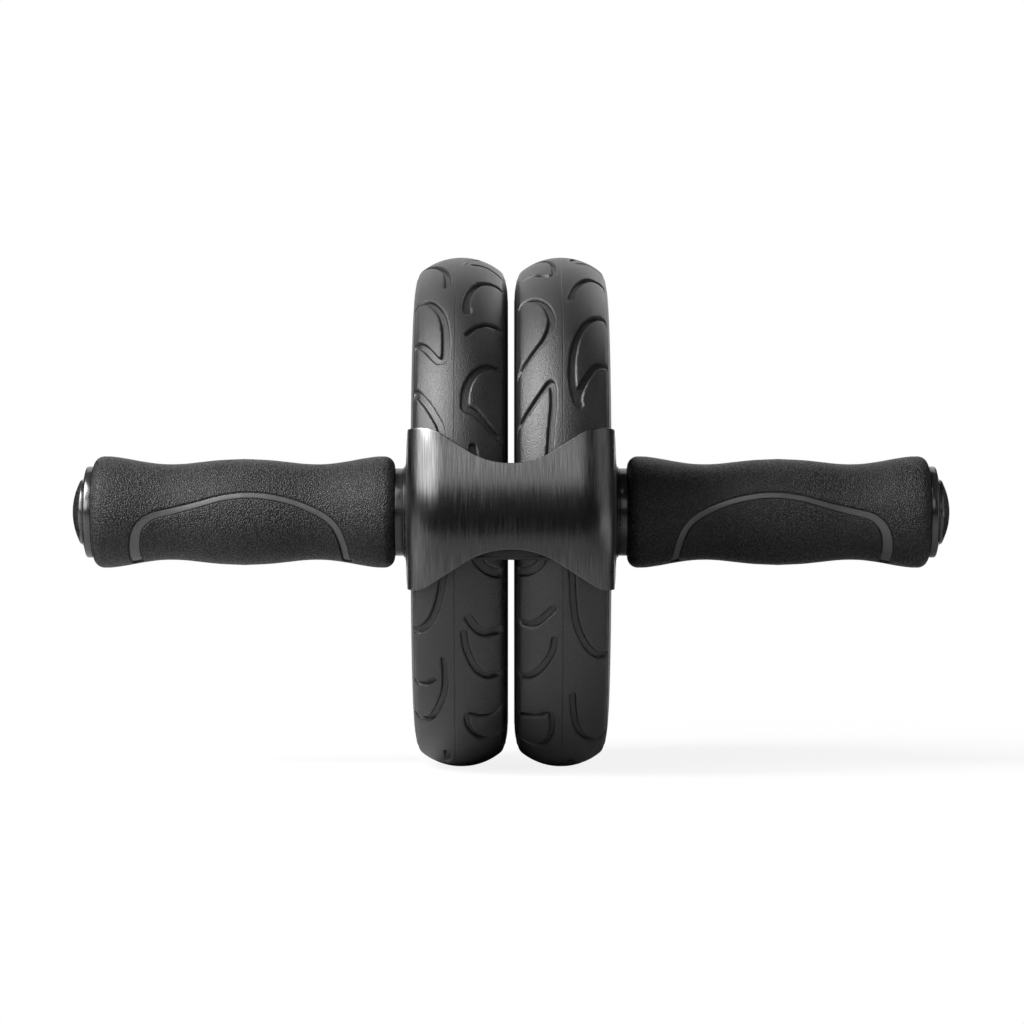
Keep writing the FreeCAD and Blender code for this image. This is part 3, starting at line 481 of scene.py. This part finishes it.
def liner_points():
    """The section is an arc of plate between two angles, closed at both edges by half circles; it is
    carried straight along the axle, and drawn in at both ends so that they are soft."""
    middle, half = (LINER_INSIDE + LINER_OUTSIDE) / 2, (LINER_OUTSIDE - LINER_INSIDE) / 2
    low = -math.asin(LINER_LOW / middle) + half / middle
    high = math.asin(LINER_TOP / middle) - half / middle
    cap = np.linspace(-math.pi / 2, math.pi / 2, 9)
    arc = np.linspace(low, high, 28)
    bulge = half * np.cos(cap) / middle
    angle = np.concatenate([arc, high + bulge, arc[::-1], low - bulge])
    face = np.ones(len(arc))
    depth = np.concatenate([-face, np.sin(cap), face, -np.sin(cap)]) * half
    end = LINER_HALF_WIDTH - np.array([0, 0.2, 0.6, 1.4])
    x = np.concatenate([-end, np.linspace(-20, 20, 9), end[::-1]])
    shrink = np.array([0.55, 0.8, 0.94, 1, *np.ones(9), 1, 0.94, 0.8, 0.55])
    radius = middle + depth * shrink[:, None]
    x = np.broadcast_to(x[:, None], radius.shape)
    return np.stack([x, -radius * np.cos(angle), radius * np.sin(angle)], -1)


def closed_tube(points):
    """Faces of a tube that is carried along rows of points: its sides, and one face on each end."""
    rows, columns = points.shape[:2]
    ends = np.array([np.arange(columns), (rows - 1) * columns + np.arange(columns)[::-1]])
    return [grid_faces(rows, columns, loop_columns=True), ends]


liner_plastic = Finish("liner_plastic", {"Specular IOR Level": 0.2})
grain = liner_plastic.noise(liner_plastic.place(), 0.5, 3.0)
flow = liner_plastic.noise(liner_plastic.place(), 11.0)
liner_plastic.surface(
    colour=liner_plastic.between(flow, (0.006, 0.006, 0.0062), (0.011, 0.011, 0.0114)),
    rough=liner_plastic.spread(flow, 0.3, 0.7, 0.38, 0.50),
    normal=liner_plastic.relief(grain, 0.02),
)
points = liner_points()
liner = add_piece("cover_liner_strip", points, closed_tube(points), liner_plastic)
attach(liner, "frame")
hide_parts("cover_liner")

# Guard: one sheet of gunmetal-coloured metal, pressed over the front of both tyres and bent back
# along both sides to the axle, where it sits on the flats. It is brushed upright, and its edges
# are broken and show as a thin bright line.
COVER_WALL = 0.85
COVER_RADIUS = 99.5
COVER_FLAT = 24.1
CORNER_WIDTH = 12.7
CORNER_DEPTH = 10.5
CHEEK_FOOT = (39.15, 18.8)
BOSS_FACE = 39.6
ROUND_END = 20.3
KEY_HOLE = 7.7
BOSS_CURVE = ((39.38, 18.2), (39.53, 17.5), (BOSS_FACE, 16.6), (BOSS_FACE, 12), (BOSS_FACE, KEY_HOLE))
CHEEK_SLOPE_FROM = 102.5
CHEEK_LEVEL = 20.0
CHEEK_LIFT = 0.9
EDGE_LEAN = math.radians(33)
EDGE_BLEND = 0.9
EDGE_BREAK = 0.32
EDGE_BREAK_ANGLE = math.radians(50)
EDGE_GUESS = 0.25
EDGE_ROUNDS = 40
BRUSH_BLEND = 16.0
BRUSH_MAP_SIZE = 260.0
UPPER_EDGE = (17.3, 30.1, 28.6, 19.6)
LOWER_EDGE = (13.2, 28.0, 31.0, 11.0)
FRONT_POINTS = 24
CORNER_POINTS = 16
MIDDLE_COLUMNS = 81
ROUND_COLUMNS = 24


def cover_section():
    """Half of the section, from the middle of the front to the hole for the axle: straight front,
    elliptical corner, sloping cheek, short cone and flat boss. The last column is the length along it."""
    front = np.stack([np.linspace(0, COVER_FLAT, FRONT_POINTS), np.full(FRONT_POINTS, COVER_RADIUS)], 1)
    turn = np.linspace(0, math.pi / 2, CORNER_POINTS + 1)[1:]
    corner = np.stack([COVER_FLAT + CORNER_WIDTH * np.sin(turn),
                       COVER_RADIUS - CORNER_DEPTH * (1 - np.cos(turn))], 1)
    share = np.linspace(0, (corner[-1, 1] - ROUND_END) / (corner[-1, 1] - CHEEK_FOOT[1]), 26)[1:, None]
    cheek = corner[-1] + (np.array(CHEEK_FOOT) - corner[-1]) * share
    boss = np.array([CHEEK_FOOT, *BOSS_CURVE])
    half = np.vstack([front, corner, cheek, boss])
    return half, np.concatenate([[0], np.cumsum(np.hypot(*np.diff(half, axis=0).T))])


def front_edge(x, middle, crest, dip, round_off):
    """Height of an edge seen from the front: an arc of radius dip between the tyres, a straight rise,
    and an arc of radius round_off that levels out at the crest over the side of the tyre."""
    bend = dip * math.sin(EDGE_LEAN)
    turn = round_off * math.sin(EDGE_LEAN)
    rise = (crest - middle - (dip + round_off) * (1 - math.cos(EDGE_LEAN))) / math.tan(EDGE_LEAN)
    curve = middle + dip - np.sqrt(dip**2 - np.minimum(x, bend) ** 2)
    straight = np.clip(x - bend, 0, rise) * math.tan(EDGE_LEAN)
    beyond = np.clip(x - bend - rise, 0, turn)
    return curve + straight + np.sqrt(round_off**2 - (turn - beyond) ** 2) - round_off * math.cos(EDGE_LEAN)


def edge_angle(x, radius, middle, crest, dip, round_off):
    """Angle at which the sheet ends: where the circle of that radius meets the lower of the front
    edge and the cheek's straight edge, which falls to CHEEK_LEVEL at the axle. The corner between
    the two is rounded off over EDGE_BLEND."""
    front = front_edge(x, middle, crest, dip, round_off)
    angle = np.full(radius.shape, EDGE_GUESS)
    for _ in range(EDGE_ROUNDS):
        slope = CHEEK_LEVEL + (crest + CHEEK_LIFT - CHEEK_LEVEL) * radius * np.cos(angle) / CHEEK_SLOPE_FROM
        gap = np.clip((front - slope) / EDGE_BLEND + 0.5, 0, 1)
        height = front + (slope - front) * gap - EDGE_BLEND * gap * (1 - gap) / 2
        angle = np.arcsin(np.minimum(height / radius, 0.9999))
    return angle


def cover_sheet():
    """Points of the sheet with the section's length running across and the angle round the axle
    between its two edges running up. Inside the round end the sheet goes the whole way round."""
    half, reach = cover_section()
    x = np.concatenate([-half[:0:-1, 0], half[:, 0]])
    radius = np.concatenate([half[:0:-1, 1], half[:, 1]])
    length = np.concatenate([-reach[:0:-1], reach])
    boss = radius <= ROUND_END
    edge_radius = np.maximum(radius, ROUND_END)
    top = edge_angle(np.abs(x), edge_radius, *UPPER_EDGE)
    low = -edge_angle(np.abs(x), edge_radius, *LOWER_EDGE)
    share = np.linspace(0, 1, MIDDLE_COLUMNS)
    angle = low[:, None] + (top - low)[:, None] * share
    rest = np.linspace(0, 1, ROUND_COLUMNS + 2)[1:-1]
    over = top[:, None] + (2 * math.pi - top + low)[:, None] * rest
    angle = np.hstack([angle, over])
    radius = np.broadcast_to(radius[:, None], angle.shape)
    points = np.stack([np.broadcast_to(x[:, None], angle.shape), -radius * np.cos(angle),
                       radius * np.sin(angle)], -1)
    corner_end = reach[FRONT_POINTS + CORNER_POINTS]
    cheek = np.clip((np.abs(length) - corner_end) / BRUSH_BLEND, 0, 1) * np.sign(length)
    across = length[:, None] + cheek[:, None] * radius * (1 - np.cos(angle))
    brush = np.stack([across, radius * np.sin(angle)], -1)
    faces = grid_faces(*angle.shape, loop_columns=True)
    column, row = faces % angle.shape[1], faces // angle.shape[1]
    kept = (boss[row] | (column < MIDDLE_COLUMNS)).all(1)
    wrapped = ((column == 0).any(1) & (column == angle.shape[1] - 1).any(1))
    kept &= ~wrapped | boss[row].all(1)
    used, faces = np.unique(faces[kept], return_inverse=True)
    return points.reshape(-1, 3)[used], faces.reshape(-1, 4), brush.reshape(-1, 2)[used]


brushed = Finish("brushed_gunmetal", {"Metallic": 1.0, "Anisotropic": 0.75})
map_point = brushed.add("UVMap", uv_map="brushing")
hair = brushed.noise(brushed.add("Mapping", {"Vector": map_point, "Scale": (640, 22, 1)}), 1.0, 1.0, 0.6)
score = brushed.noise(brushed.add("Mapping", {"Vector": map_point, "Scale": (330, 7, 1)}), 1.0, 1.0)
cloud = brushed.noise(brushed.place(), 24.0, 2.0)
streak = brushed.sums("ADD", brushed.sums("MULTIPLY", hair, 0.9), brushed.sums("MULTIPLY", score, 0.1))
bright = brushed.spread(streak, 0.36, 0.64, 0.0, 1.0)
dull = brushed.spread(cloud, 0.3, 0.7, 0.0, 0.02)
brushed.surface(
    colour=brushed.between(bright, (0.088, 0.088, 0.089), (0.140, 0.139, 0.138)),
    rough=brushed.sums("ADD", brushed.spread(streak, 0.35, 0.65, 0.22, 0.26), dull),
    normal=brushed.relief(streak, 0.0025),
    tangent=brushed.add("Tangent", direction_type="UV_MAP", uv_map="brushing"),
)
points, faces, brush = cover_sheet()
cover = add_piece("saddle_cover_sheet", points, [faces], brushed)
flat_map = cover.data.uv_layers.new(name="brushing")
corner_point = np.zeros(len(cover.data.loops), np.int32)
cover.data.loops.foreach_get("vertex_index", corner_point)
flat = (brush / BRUSH_MAP_SIZE + 0.5)[corner_point]
flat_map.data.foreach_set("uv", flat.astype(np.float32).ravel())
thickness = cover.modifiers.new("sheet thickness", "SOLIDIFY")
thickness.thickness = COVER_WALL * MM
thickness.offset = -1
thickness.use_even_offset = True
broken_edge = cover.modifiers.new("broken edges", "BEVEL")
broken_edge.width = EDGE_BREAK * MM
broken_edge.segments = 2
broken_edge.limit_method = "ANGLE"
broken_edge.angle_limit = EDGE_BREAK_ANGLE
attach(cover, "frame")
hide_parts("saddle_cover")

# Collars and their washers: turned rings of glossy black plastic at the inner ends of the grips,
# with a thin black washer between each collar and the guard.
RING_BORE = 7.6
# Each ring is its start and end along the axle, its radius, and the rounding of its outer edges.
WASHER = (39.62, 40.08, 17.0, 0.12)
COLLAR = (40.12, 43.38, 16.4, 0.35)


def rounded(corners, steps):
    """A closed outline of corners (x, y, radius): each corner with a radius becomes an arc that
    touches both of its sides."""
    outline = []
    for i, (x, y, radius) in enumerate(corners):
        here = np.array([x, y])
        if radius == 0:
            outline.append(here[None])
            continue
        back = np.array(corners[i - 1][:2]) - here
        on = np.array(corners[(i + 1) % len(corners)][:2]) - here
        back, on = back / np.hypot(*back), on / np.hypot(*on)
        half = math.acos(back @ on) / 2
        centre = here + (back + on) / np.hypot(*(back + on)) * radius / math.sin(half)
        first = here + back * radius / math.tan(half) - centre
        last = here + on * radius / math.tan(half) - centre
        t = np.linspace(0, 1, steps + 1)[:, None]
        sweep = math.pi - 2 * half
        arc = np.sin((1 - t) * sweep) * first + np.sin(t * sweep) * last
        outline.append(centre + arc / math.sin(sweep))
    return np.vstack(outline)


def turned(outline, steps=160):
    """Carries a closed outline (x, r) round the axle: each point goes to (x, -r cos a, r sin a)."""
    angle = np.linspace(0, 2 * math.pi, steps, endpoint=False)
    x = np.broadcast_to(outline[:, :1], (len(outline), steps))
    radius = outline[:, 1:]
    points = np.stack([x, -radius * np.cos(angle), radius * np.sin(angle)], -1)
    return points, [grid_faces(len(outline), steps, True, True)]


def plain_ring(start, end, radius, soft, steps):
    """A ring from start to end along the axle, with its two outer edges rounded to the radius soft."""
    corners = [(start, RING_BORE, 0), (start, radius, soft), (end, radius, soft), (end, RING_BORE, 0)]
    return turned(rounded(corners, steps))


def facing(points, sign):
    """The same points for the left or the right side."""
    return points * (sign, 1, 1)


def black_gloss(name, dark, light, rough, specular):
    """Glossy black moulding: slight flow clouds, fine scuffs that run round, and a soft orange peel."""
    gloss = Finish(name, {"Specular IOR Level": specular})
    cloud = gloss.noise(gloss.place(), 6.0, 3.0)
    scuff = gloss.noise(gloss.place((5, 0.5, 0.5)), 1.0, 3.0)
    peel = gloss.noise(gloss.place(), 0.9, 1.0)
    gloss.surface(
        colour=gloss.between(cloud, (dark,) * 3, (light,) * 3),
        rough=gloss.sums("ADD", gloss.spread(scuff, 0.35, 0.7, rough, rough + 0.06),
                         gloss.spread(cloud, 0.3, 0.7, 0.0, 0.03)),
        normal=gloss.relief(peel, 0.006),
    )
    return gloss


collar_gloss = black_gloss("collar_gloss", 0.012, 0.020, 0.16, 0.6)
for side, sign in SIDES.items():
    ring, faces = plain_ring(*WASHER, 3)
    washer = add_piece(f"{side}_collar_washer_ring", facing(ring, sign), faces, collar_gloss)
    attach(washer, "frame")
    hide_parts(f"{side}_collar_washer")
    ring, faces = plain_ring(*COLLAR, 4)
    collar = add_piece(f"{side}_collar_ring", facing(ring, sign), faces, collar_gloss)
    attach(collar, "frame")
    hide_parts(f"{side}_collar")

# Handle cores: hard black sleeves on the flats of the axle, which carry the foam. The foam, the
# collars and the caps cover them.
core_plastic = Finish("core_plastic", {"Specular IOR Level": 0.4})
grain = core_plastic.noise(core_plastic.place(), 0.5, 3.0)
core_plastic.surface(
    colour=core_plastic.between(grain, (0.014, 0.014, 0.015), (0.026, 0.026, 0.027)),
    rough=core_plastic.spread(grain, 0.3, 0.7, 0.44, 0.60),
    normal=core_plastic.relief(grain, 0.03),
)
for side in SIDES:
    core_plastic.dress(f"{side}_handle_core")

# Grips: sleeves of closed-cell foam rubber, swelling at both ends and in the middle, with a fine
# pebbled skin. A channel for the strip is moulded into the front.
GRIP_MIDDLE = 99.65
GRIP_HALF = 56.25
GRIP_CORNER = 4.0
GRIP_BORE = 13.55
GRIP_CIRCLE = 19.0
CHANNEL_DEPTH = 1.3
CHANNEL_WALL = 0.3
CHANNEL_GAP = 0.45
BORE_REACH = 45
OUTLINE_POINTS = 225
GRIP_STEPS = 288
GRIP_OUTLINE = (
    (0, 19.87), (9, 19.46), (16, 18.75), (22, 18.1), (27, 17.88), (32, 18.08), (38, 18.9), (44, 20.0),
    (49, 20.72), (52.25, 20.85),
)
# The middle line of the strip: distance from the middle of the grip towards its outer end, angle
# round the grip in degrees, and the strip's width.
STRIP_LINE = (
    (39.6, -74, 4.2), (40.1, -52, 4.1), (39.8, -33, 4.0), (38.2, -17.5, 3.6), (34.0, -6, 3.0),
    (26.8, 0.3, 2.9), (16.8, 8.4, 2.5), (7.4, 15.8, 2.3), (-1.6, 18.8, 2.3), (-10, 17.3, 2.4),
    (-19.5, 10.8, 2.5),
    (-28.5, -2, 2.6), (-33.7, -15, 2.6), (-36.4, -31, 2.7), (-37.8, -50, 2.8), (-38.6, -74, 2.9),
)


def grip_radius(offset):
    """Radius of the foam at a distance from the grip's middle, on a smooth curve through the outline."""
    curve = smooth_curve(GRIP_OUTLINE, 24)
    return np.interp(np.abs(offset), curve[:, 0], curve[:, 1])


def grip_section():
    """Section of the sleeve, closed through its bore: end face, rounded corner, waisted outline, and
    the same again. The number of points before the outline follows."""
    outer = np.linspace(-(GRIP_HALF - GRIP_CORNER), GRIP_HALF - GRIP_CORNER, OUTLINE_POINTS)
    outline = np.stack([outer, grip_radius(outer)], 1)
    top = outline[-1, 1]
    turn = np.linspace(0, math.pi / 2, 12)[1:]
    corner = np.stack([GRIP_HALF - GRIP_CORNER * (1 - np.sin(turn)),
                       top - GRIP_CORNER * (1 - np.cos(turn))], 1)
    face = np.array([(GRIP_HALF, 15.4), (GRIP_HALF, 14.2), (GRIP_HALF, GRIP_BORE)])
    end = np.vstack([corner, face])
    bore = np.stack([np.linspace(BORE_REACH, -BORE_REACH, 5), np.full(5, GRIP_BORE)], 1)
    return np.vstack([end[::-1] * (-1, 1), outline, end, bore]), len(end)


def strip_curve():
    """Middle line of the strip on the unrolled grip: distance round, distance along, and width."""
    along, angle, width = np.array(STRIP_LINE, float).T
    return smooth_curve(np.stack([GRIP_CIRCLE * np.radians(angle), along, width], 1))


def grip_points(sign):
    """The section is carried round the handle. Points within the strip's channel are pressed in, and
    those at its edges are drawn on to them."""
    section, first = grip_section()
    angle = np.linspace(-math.pi, math.pi, GRIP_STEPS, endpoint=False)
    offset, along = np.meshgrid(section[:, 0], GRIP_CIRCLE * angle)
    skin = np.zeros(len(section), bool)
    skin[first:first + OUTLINE_POINTS] = True
    channel = strip_curve() + (0, 0, CHANNEL_GAP)
    spacing = (2 * math.pi * GRIP_CIRCLE / GRIP_STEPS, section[first + 1, 0] - section[first, 0])
    moved_along, moved_offset, depth = carve(along, offset, [channel], CHANNEL_WALL, spacing)
    along = np.where(skin, moved_along, along)
    offset = np.where(skin, moved_offset, offset)
    radius = np.where(skin, grip_radius(offset) - CHANNEL_DEPTH * depth, section[:, 1])
    angle = along / GRIP_CIRCLE
    x = sign * (GRIP_MIDDLE + offset)
    return np.stack([x, -radius * np.cos(angle), radius * np.sin(angle)], -1), depth * skin


foam = Finish("pebbled_foam", {"Specular IOR Level": 0.38, "Sheen Weight": 0.01, "Sheen Roughness": 0.4})
where = foam.place()
drift = foam.add("TexNoise", {"Vector": where, "Scale": 1.4}, output=1)
bent = foam.add("MixRGB", {0: 0.2, 1: where, 2: drift}, blend_type="LINEAR_LIGHT")
apart = foam.cells(bent, 0.64)
pebble = foam.spread(foam.sums("MULTIPLY", apart, apart), 0.0, 0.42, 1.0, 0.0)
crease = foam.noise(where, 0.36, 3.0, 0.6)
skin = foam.sums("ADD", foam.sums("MULTIPLY", pebble, 0.72), foam.sums("MULTIPLY", crease, 0.28))
wear = foam.noise(where, 12.0, 3.0)
# Painted highlight and painted shade: the colour is lighter on the raised tops of the pebbles and darker in
# the creases between them, following the skin's height.
raised = foam.spread(skin, 0.35, 0.8, 0.0, 1.0)
foam.surface(
    colour=foam.between(raised, (0.002, 0.002, 0.0021), (0.019, 0.019, 0.0195)),
    rough=foam.sums("ADD", foam.spread(skin, 0.3, 0.8, 0.50, 0.28), foam.spread(wear, 0.3, 0.7, 0.0, 0.06)),
    normal=foam.relief(skin, 0.31),
)
for side, sign in SIDES.items():
    points, depth = grip_points(sign)
    faces = cut_faces(grid_faces(*points.shape[:2], True, True), depth)
    grip = add_piece(f"{side}_foam_sleeve", points, faces, foam)
    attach(grip, "frame")
    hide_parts(f"{side}_foam_grip")

# Strips: smooth dark grey rubber, moulded as a flat band with soft edges and glued into the channel
# in the front of each grip, a little below the foam's skin.
STRIP_RECESS = 0.5
STRIP_THICKNESS = 0.95
STRIP_GAP = 0.08


def strip_points(sign):
    """The strip's section, a flat band with soft upper edges, is carried along its middle line on the
    unrolled grip, turned square to it, and wrapped on to the grip."""
    line = strip_curve()
    slope = np.gradient(line[:, :2], axis=0)
    slope /= np.hypot(*slope.T)[:, None]
    square = np.stack([-slope[:, 1], slope[:, 0]], 1)
    across = np.array([-1, -1, -0.97, -0.88, -0.6, 0, 0.6, 0.88, 0.97, 1, 1])
    down = np.array([STRIP_THICKNESS, 0.3, 0.1, 0.02, 0, -0.03, 0, 0.02, 0.1, 0.3, STRIP_THICKNESS])
    flat = line[:, None, :2] + square[:, None] * (across[:, None] * (line[:, None, 2:] / 2 - STRIP_GAP))
    radius = grip_radius(flat[..., 1]) - STRIP_RECESS - down
    angle = flat[..., 0] / GRIP_CIRCLE
    x = sign * (GRIP_MIDDLE + flat[..., 1])
    return np.stack([x, -radius * np.cos(angle), radius * np.sin(angle)], -1)


strip_rubber = Finish("strip_rubber", {"Specular IOR Level": 0.55})
grain = strip_rubber.noise(strip_rubber.place(), 0.25, 2.0)
cloud = strip_rubber.noise(strip_rubber.place(), 8.0, 2.0)
strip_rubber.surface(
    colour=strip_rubber.between(cloud, (0.034, 0.034, 0.0345), (0.046, 0.046, 0.047)),
    rough=strip_rubber.spread(cloud, 0.3, 0.7, 0.36, 0.45),
    normal=strip_rubber.relief(grain, 0.012),
)
for side, sign in SIDES.items():
    points = strip_points(sign)
    strip = add_piece(f"{side}_grip_strip", points, closed_tube(points), strip_rubber)
    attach(strip, "frame")
    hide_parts(f"{side}_grip_inlay")

# End caps and their discs: glossy black mouldings that close the outer ends. The ring curves in to
# a lip, and the domed disc is pressed into it with a narrow gap all round.
SKIRT_START = 150.0
SKIRT_RADIUS = 11.45
CAP_BORE = 9.4
RIM_START = 155.95
RIM_RADIUS = 17.07
RIM_ROUND = 0.25
CAP_CURVE = (
    (158.0, RIM_RADIUS), (158.45, 16.86), (158.75, 16.3), (159.05, 15.2), (159.35, 14.1), (159.6, 13.2),
)
DISC_RADIUS = 12.3
DISC_EDGE = 160.7
DISC_TOP = 163.95
DISC_BACK = 158.1
DISC_ROUND = 0.8
DISC_SHOULDER = DISC_EDGE - 0.75
DOME_TRIM = 0.5
POLE_RADIUS = 0.6


def cap_outline():
    """Closed outline of the ring: skirt inside the core, rim, curved shoulder, lip and recess."""
    inner, outer = (RIM_START, SKIRT_RADIUS, 0), (RIM_START, RIM_RADIUS, RIM_ROUND)
    skirt = rounded([(SKIRT_START, CAP_BORE, 0), (SKIRT_START, SKIRT_RADIUS, 0.3), inner, outer], 3)
    rim = rounded([inner, outer, (157.6, RIM_RADIUS, 0)], 3)
    shoulder = smooth_curve(CAP_CURVE, 6)
    lip = np.array([(159.65, 12.95), (159.63, 12.75), (159.5, 12.62), (158.0, 12.6), (158.0, CAP_BORE)])
    return np.vstack([skirt[:-4], rim[1:-1], shoulder, lip])


def disc_points(steps=160):
    """The dome is part of a sphere, its edge is rounded, and it closes at a pole in front and behind."""
    rise = DISC_TOP - DISC_EDGE
    sphere = (DISC_RADIUS**2 + rise**2) / (2 * rise)
    radius = np.linspace(POLE_RADIUS, DISC_RADIUS - DOME_TRIM, 22)
    dome = np.stack([DISC_TOP - sphere + np.sqrt(sphere**2 - radius**2), radius], 1)
    turn = np.radians([40, 60, 80])
    middle = np.array([DISC_SHOULDER, DISC_RADIUS - DISC_ROUND])
    edge = middle + DISC_ROUND * np.stack([np.cos(turn), np.sin(turn)], 1)
    side = [(DISC_SHOULDER, DISC_RADIUS), (DISC_BACK, DISC_RADIUS)]
    back = np.array([*side, (DISC_BACK, 6.0), (DISC_BACK, POLE_RADIUS)])
    outline = np.vstack([dome, edge, back])
    rings, _ = turned(outline, steps)
    poles = np.array([(DISC_TOP, 0, 0), (DISC_BACK, 0, 0)])
    points = np.vstack([rings.reshape(-1, 3), poles])
    count = len(outline) * steps
    here = np.arange(steps)
    after = (here + 1) % steps
    last = count - steps
    front = np.stack([np.full(steps, count), after, here], 1)
    back = np.stack([np.full(steps, count + 1), last + here, last + after], 1)
    return points, [grid_faces(len(outline), steps, loop_columns=True), front, back]


cap_gloss = black_gloss("cap_gloss", 0.012, 0.018, 0.15, 1.0)
for side, sign in SIDES.items():
    ring, faces = turned(cap_outline())
    cap = add_piece(f"{side}_end_cap_ring", facing(ring, sign), faces, cap_gloss)
    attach(cap, "frame")
    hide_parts(f"{side}_end_cap")
    points, faces = disc_points()
    disc = add_piece(f"{side}_cap_dome", facing(points, sign), faces, cap_gloss)
    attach(disc, "frame")
    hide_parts(f"{side}_cap_disc")

# Studio: a white paper floor that sweeps up into a backdrop, and six soft boxes: two at the left, and
# one each above, in front, at the right and behind at the right. A dark board in front, a grey mat
# on the floor and a dark flag beside each cap show only in reflections.
FLOOR_END = 2.0
SWEEP_CURVE = 1.2
WALL_TOP = 5.0
BOARD_HALF_WIDTH = 700
BOARD_LOW = 36
BOARD_TOP = 142
BOARD_AHEAD = -400.0
MAT_FRONT = -900
MAT_BACK = 350
MAT_HEIGHT = 0.5
FLAG_SIZE = 350
FLAG_ASIDE = 260.0
CAMERA_AHEAD = -1.638


def sweep_points():
    """Floor from the front to the back, a quarter circle, and an upright wall behind, in metres."""
    turn = np.linspace(0, math.pi / 2, 17)
    wall = FLOOR_END + SWEEP_CURVE
    y = np.concatenate([[-4.0, -1.0, 0.0, 1.0], FLOOR_END + SWEEP_CURVE * np.sin(turn), [wall]])
    z = np.concatenate([[0.0, 0.0, 0.0, 0.0], SWEEP_CURVE * (1 - np.cos(turn)), [WALL_TOP]])
    x = np.linspace(-5, 5, 5)
    return np.stack(np.broadcast_arrays(x[:, None], y, z), -1)


paper = Finish("studio_paper", {"Roughness": 0.9, "Specular IOR Level": 0.1})
tooth = paper.noise(paper.place(), 1.5, 2.0)
paper.surface(
    colour=paper.between(tooth, (0.80, 0.80, 0.80), (0.84, 0.84, 0.84)),
    normal=paper.relief(tooth, 0.02),
)
light_path = paper.tree.nodes.new("ShaderNodeLightPath")
seen = paper.sums("MAXIMUM", light_path.outputs["Is Camera Ray"], light_path.outputs["Is Glossy Ray"])
seen = paper.sums("MAXIMUM", seen, light_path.outputs["Is Transmission Ray"])
from_middle = paper.add("VectorMath", {0: paper.place()}, output=1, operation="LENGTH")
white_share = paper.spread(from_middle, 180, 420, 0.86, 1.0)
white = paper.add("Emission", {"Color": (1, 1, 1, 1), "Strength": 1.0})
glow = paper.sums("MULTIPLY", seen, white_share)
lit_paper = paper.add("MixShader", {0: glow, 1: paper.shader.outputs[0], 2: white})
paper.feed(paper.tree.nodes["Material Output"].inputs["Surface"], lit_paper)
points = sweep_points()
sweep = add_piece("studio_sweep", points.reshape(-1, 3) / MM - (0, 0, AXLE_HEIGHT),
                  [grid_faces(*points.shape[:2])[:, ::-1]], paper)


def reflection_card(name, points, outer, inner, front=1.0):
    """A board that shows only in reflections: matt card that changes from one shade at the far left
    to another from the left grip onwards, and keeps a share of it towards the front."""
    board = Finish(name, {"Specular IOR Level": 0.0})
    where = board.place()
    fibre = board.noise(where, 2.0)
    shade = board.spread(board.add("SeparateXYZ", {0: where}), -600, -120, outer, inner)
    dimmed = board.spread(board.add("SeparateXYZ", {0: where}, output=1), -330, -170, front, 1.0)
    board.surface(
        colour=board.sums("MULTIPLY", shade, dimmed),
        rough=board.spread(fibre, 0.3, 0.7, 0.9, 1.0),
    )
    card = add_piece(name, points, [grid_faces(*points.shape[:2])], board)
    card.visible_camera = False
    card.visible_diffuse = False
    card.visible_shadow = False
    card.visible_transmission = False


wide = np.linspace(-BOARD_HALF_WIDTH, BOARD_HALF_WIDTH, 7)
x, z = np.meshgrid(wide, np.linspace(BOARD_LOW, BOARD_TOP, 3))
card = np.stack([x, np.full(x.shape, BOARD_AHEAD), z - AXLE_HEIGHT], -1)
reflection_card("dark_card", card, 0.008, 0.004)
x, y = np.meshgrid(wide, np.linspace(MAT_FRONT, MAT_BACK, 7))
mat = np.stack([x, y, np.full(x.shape, MAT_HEIGHT - AXLE_HEIGHT)], -1)
reflection_card("grey_mat", mat, 0.45, 0.37, 0.58)
y, z = np.meshgrid(np.linspace(0, FLAG_SIZE, 3), np.linspace(0, FLAG_SIZE, 3))
for side, sign in SIDES.items():
    flag = np.stack([np.full(y.shape, sign * FLAG_ASIDE), y, z - AXLE_HEIGHT], -1)
    reflection_card(f"{side}_flag", flag, 0.012, 0.012)


def soft_box(name, spot, width, height, power):
    """A rectangular lamp at a spot, in metres, turned towards the middle of the roller."""
    lamp = bpy.data.lights.new(name, "AREA")
    lamp.shape = "RECTANGLE"
    lamp.size, lamp.size_y, lamp.energy = width, height, power
    holder = bpy.data.objects.new(name, lamp)
    bpy.context.scene.collection.objects.link(holder)
    x, y, z = -spot[0], -spot[1], AXLE_HEIGHT * MM - spot[2]
    holder.location = spot
    holder.rotation_euler = (math.pi / 2 + math.atan2(z, math.hypot(x, y)), 0, math.atan2(-x, y))
    holder.visible_camera = False


soft_box("key_box", (-0.545, -0.30, 0.68), 0.5, 0.5, 12)
soft_box("left_box", (-0.74, -0.66, 0.43), 1.2, 0.45, 8)
soft_box("top_box", (-0.42, -0.50, 0.90), 0.8, 0.55, 4.6)
soft_box("front_box", (-0.55, -1.40, 0.75), 2.2, 0.7, 5.5)
soft_box("right_box", (1.15, -0.35, 0.40), 1.1, 1.0, 1.8)
soft_box("side_box", (1.10, 0.95, 0.62), 1.2, 1.0, 10)

world = bpy.data.worlds.new("studio_air")
world.use_nodes = True
air = world.node_tree.nodes["Background"]
air.inputs["Color"].default_value = (1, 1, 1, 1)
air.inputs["Strength"].default_value = 0.04
bpy.context.scene.world = world

camera_data = bpy.data.cameras.new("camera")
camera_data.sensor_width = 36
camera_data.lens = 153.9
camera_data.shift_x = 0.0009
camera_data.clip_end = 50
camera = bpy.data.objects.new("camera", camera_data)
camera.location = (0, CAMERA_AHEAD, AXLE_HEIGHT * MM)
camera.rotation_euler = (math.pi / 2, 0, 0)
bpy.context.scene.collection.objects.link(camera)
bpy.context.scene.camera = camera
bpy.context.scene.view_settings.view_transform = "Standard"
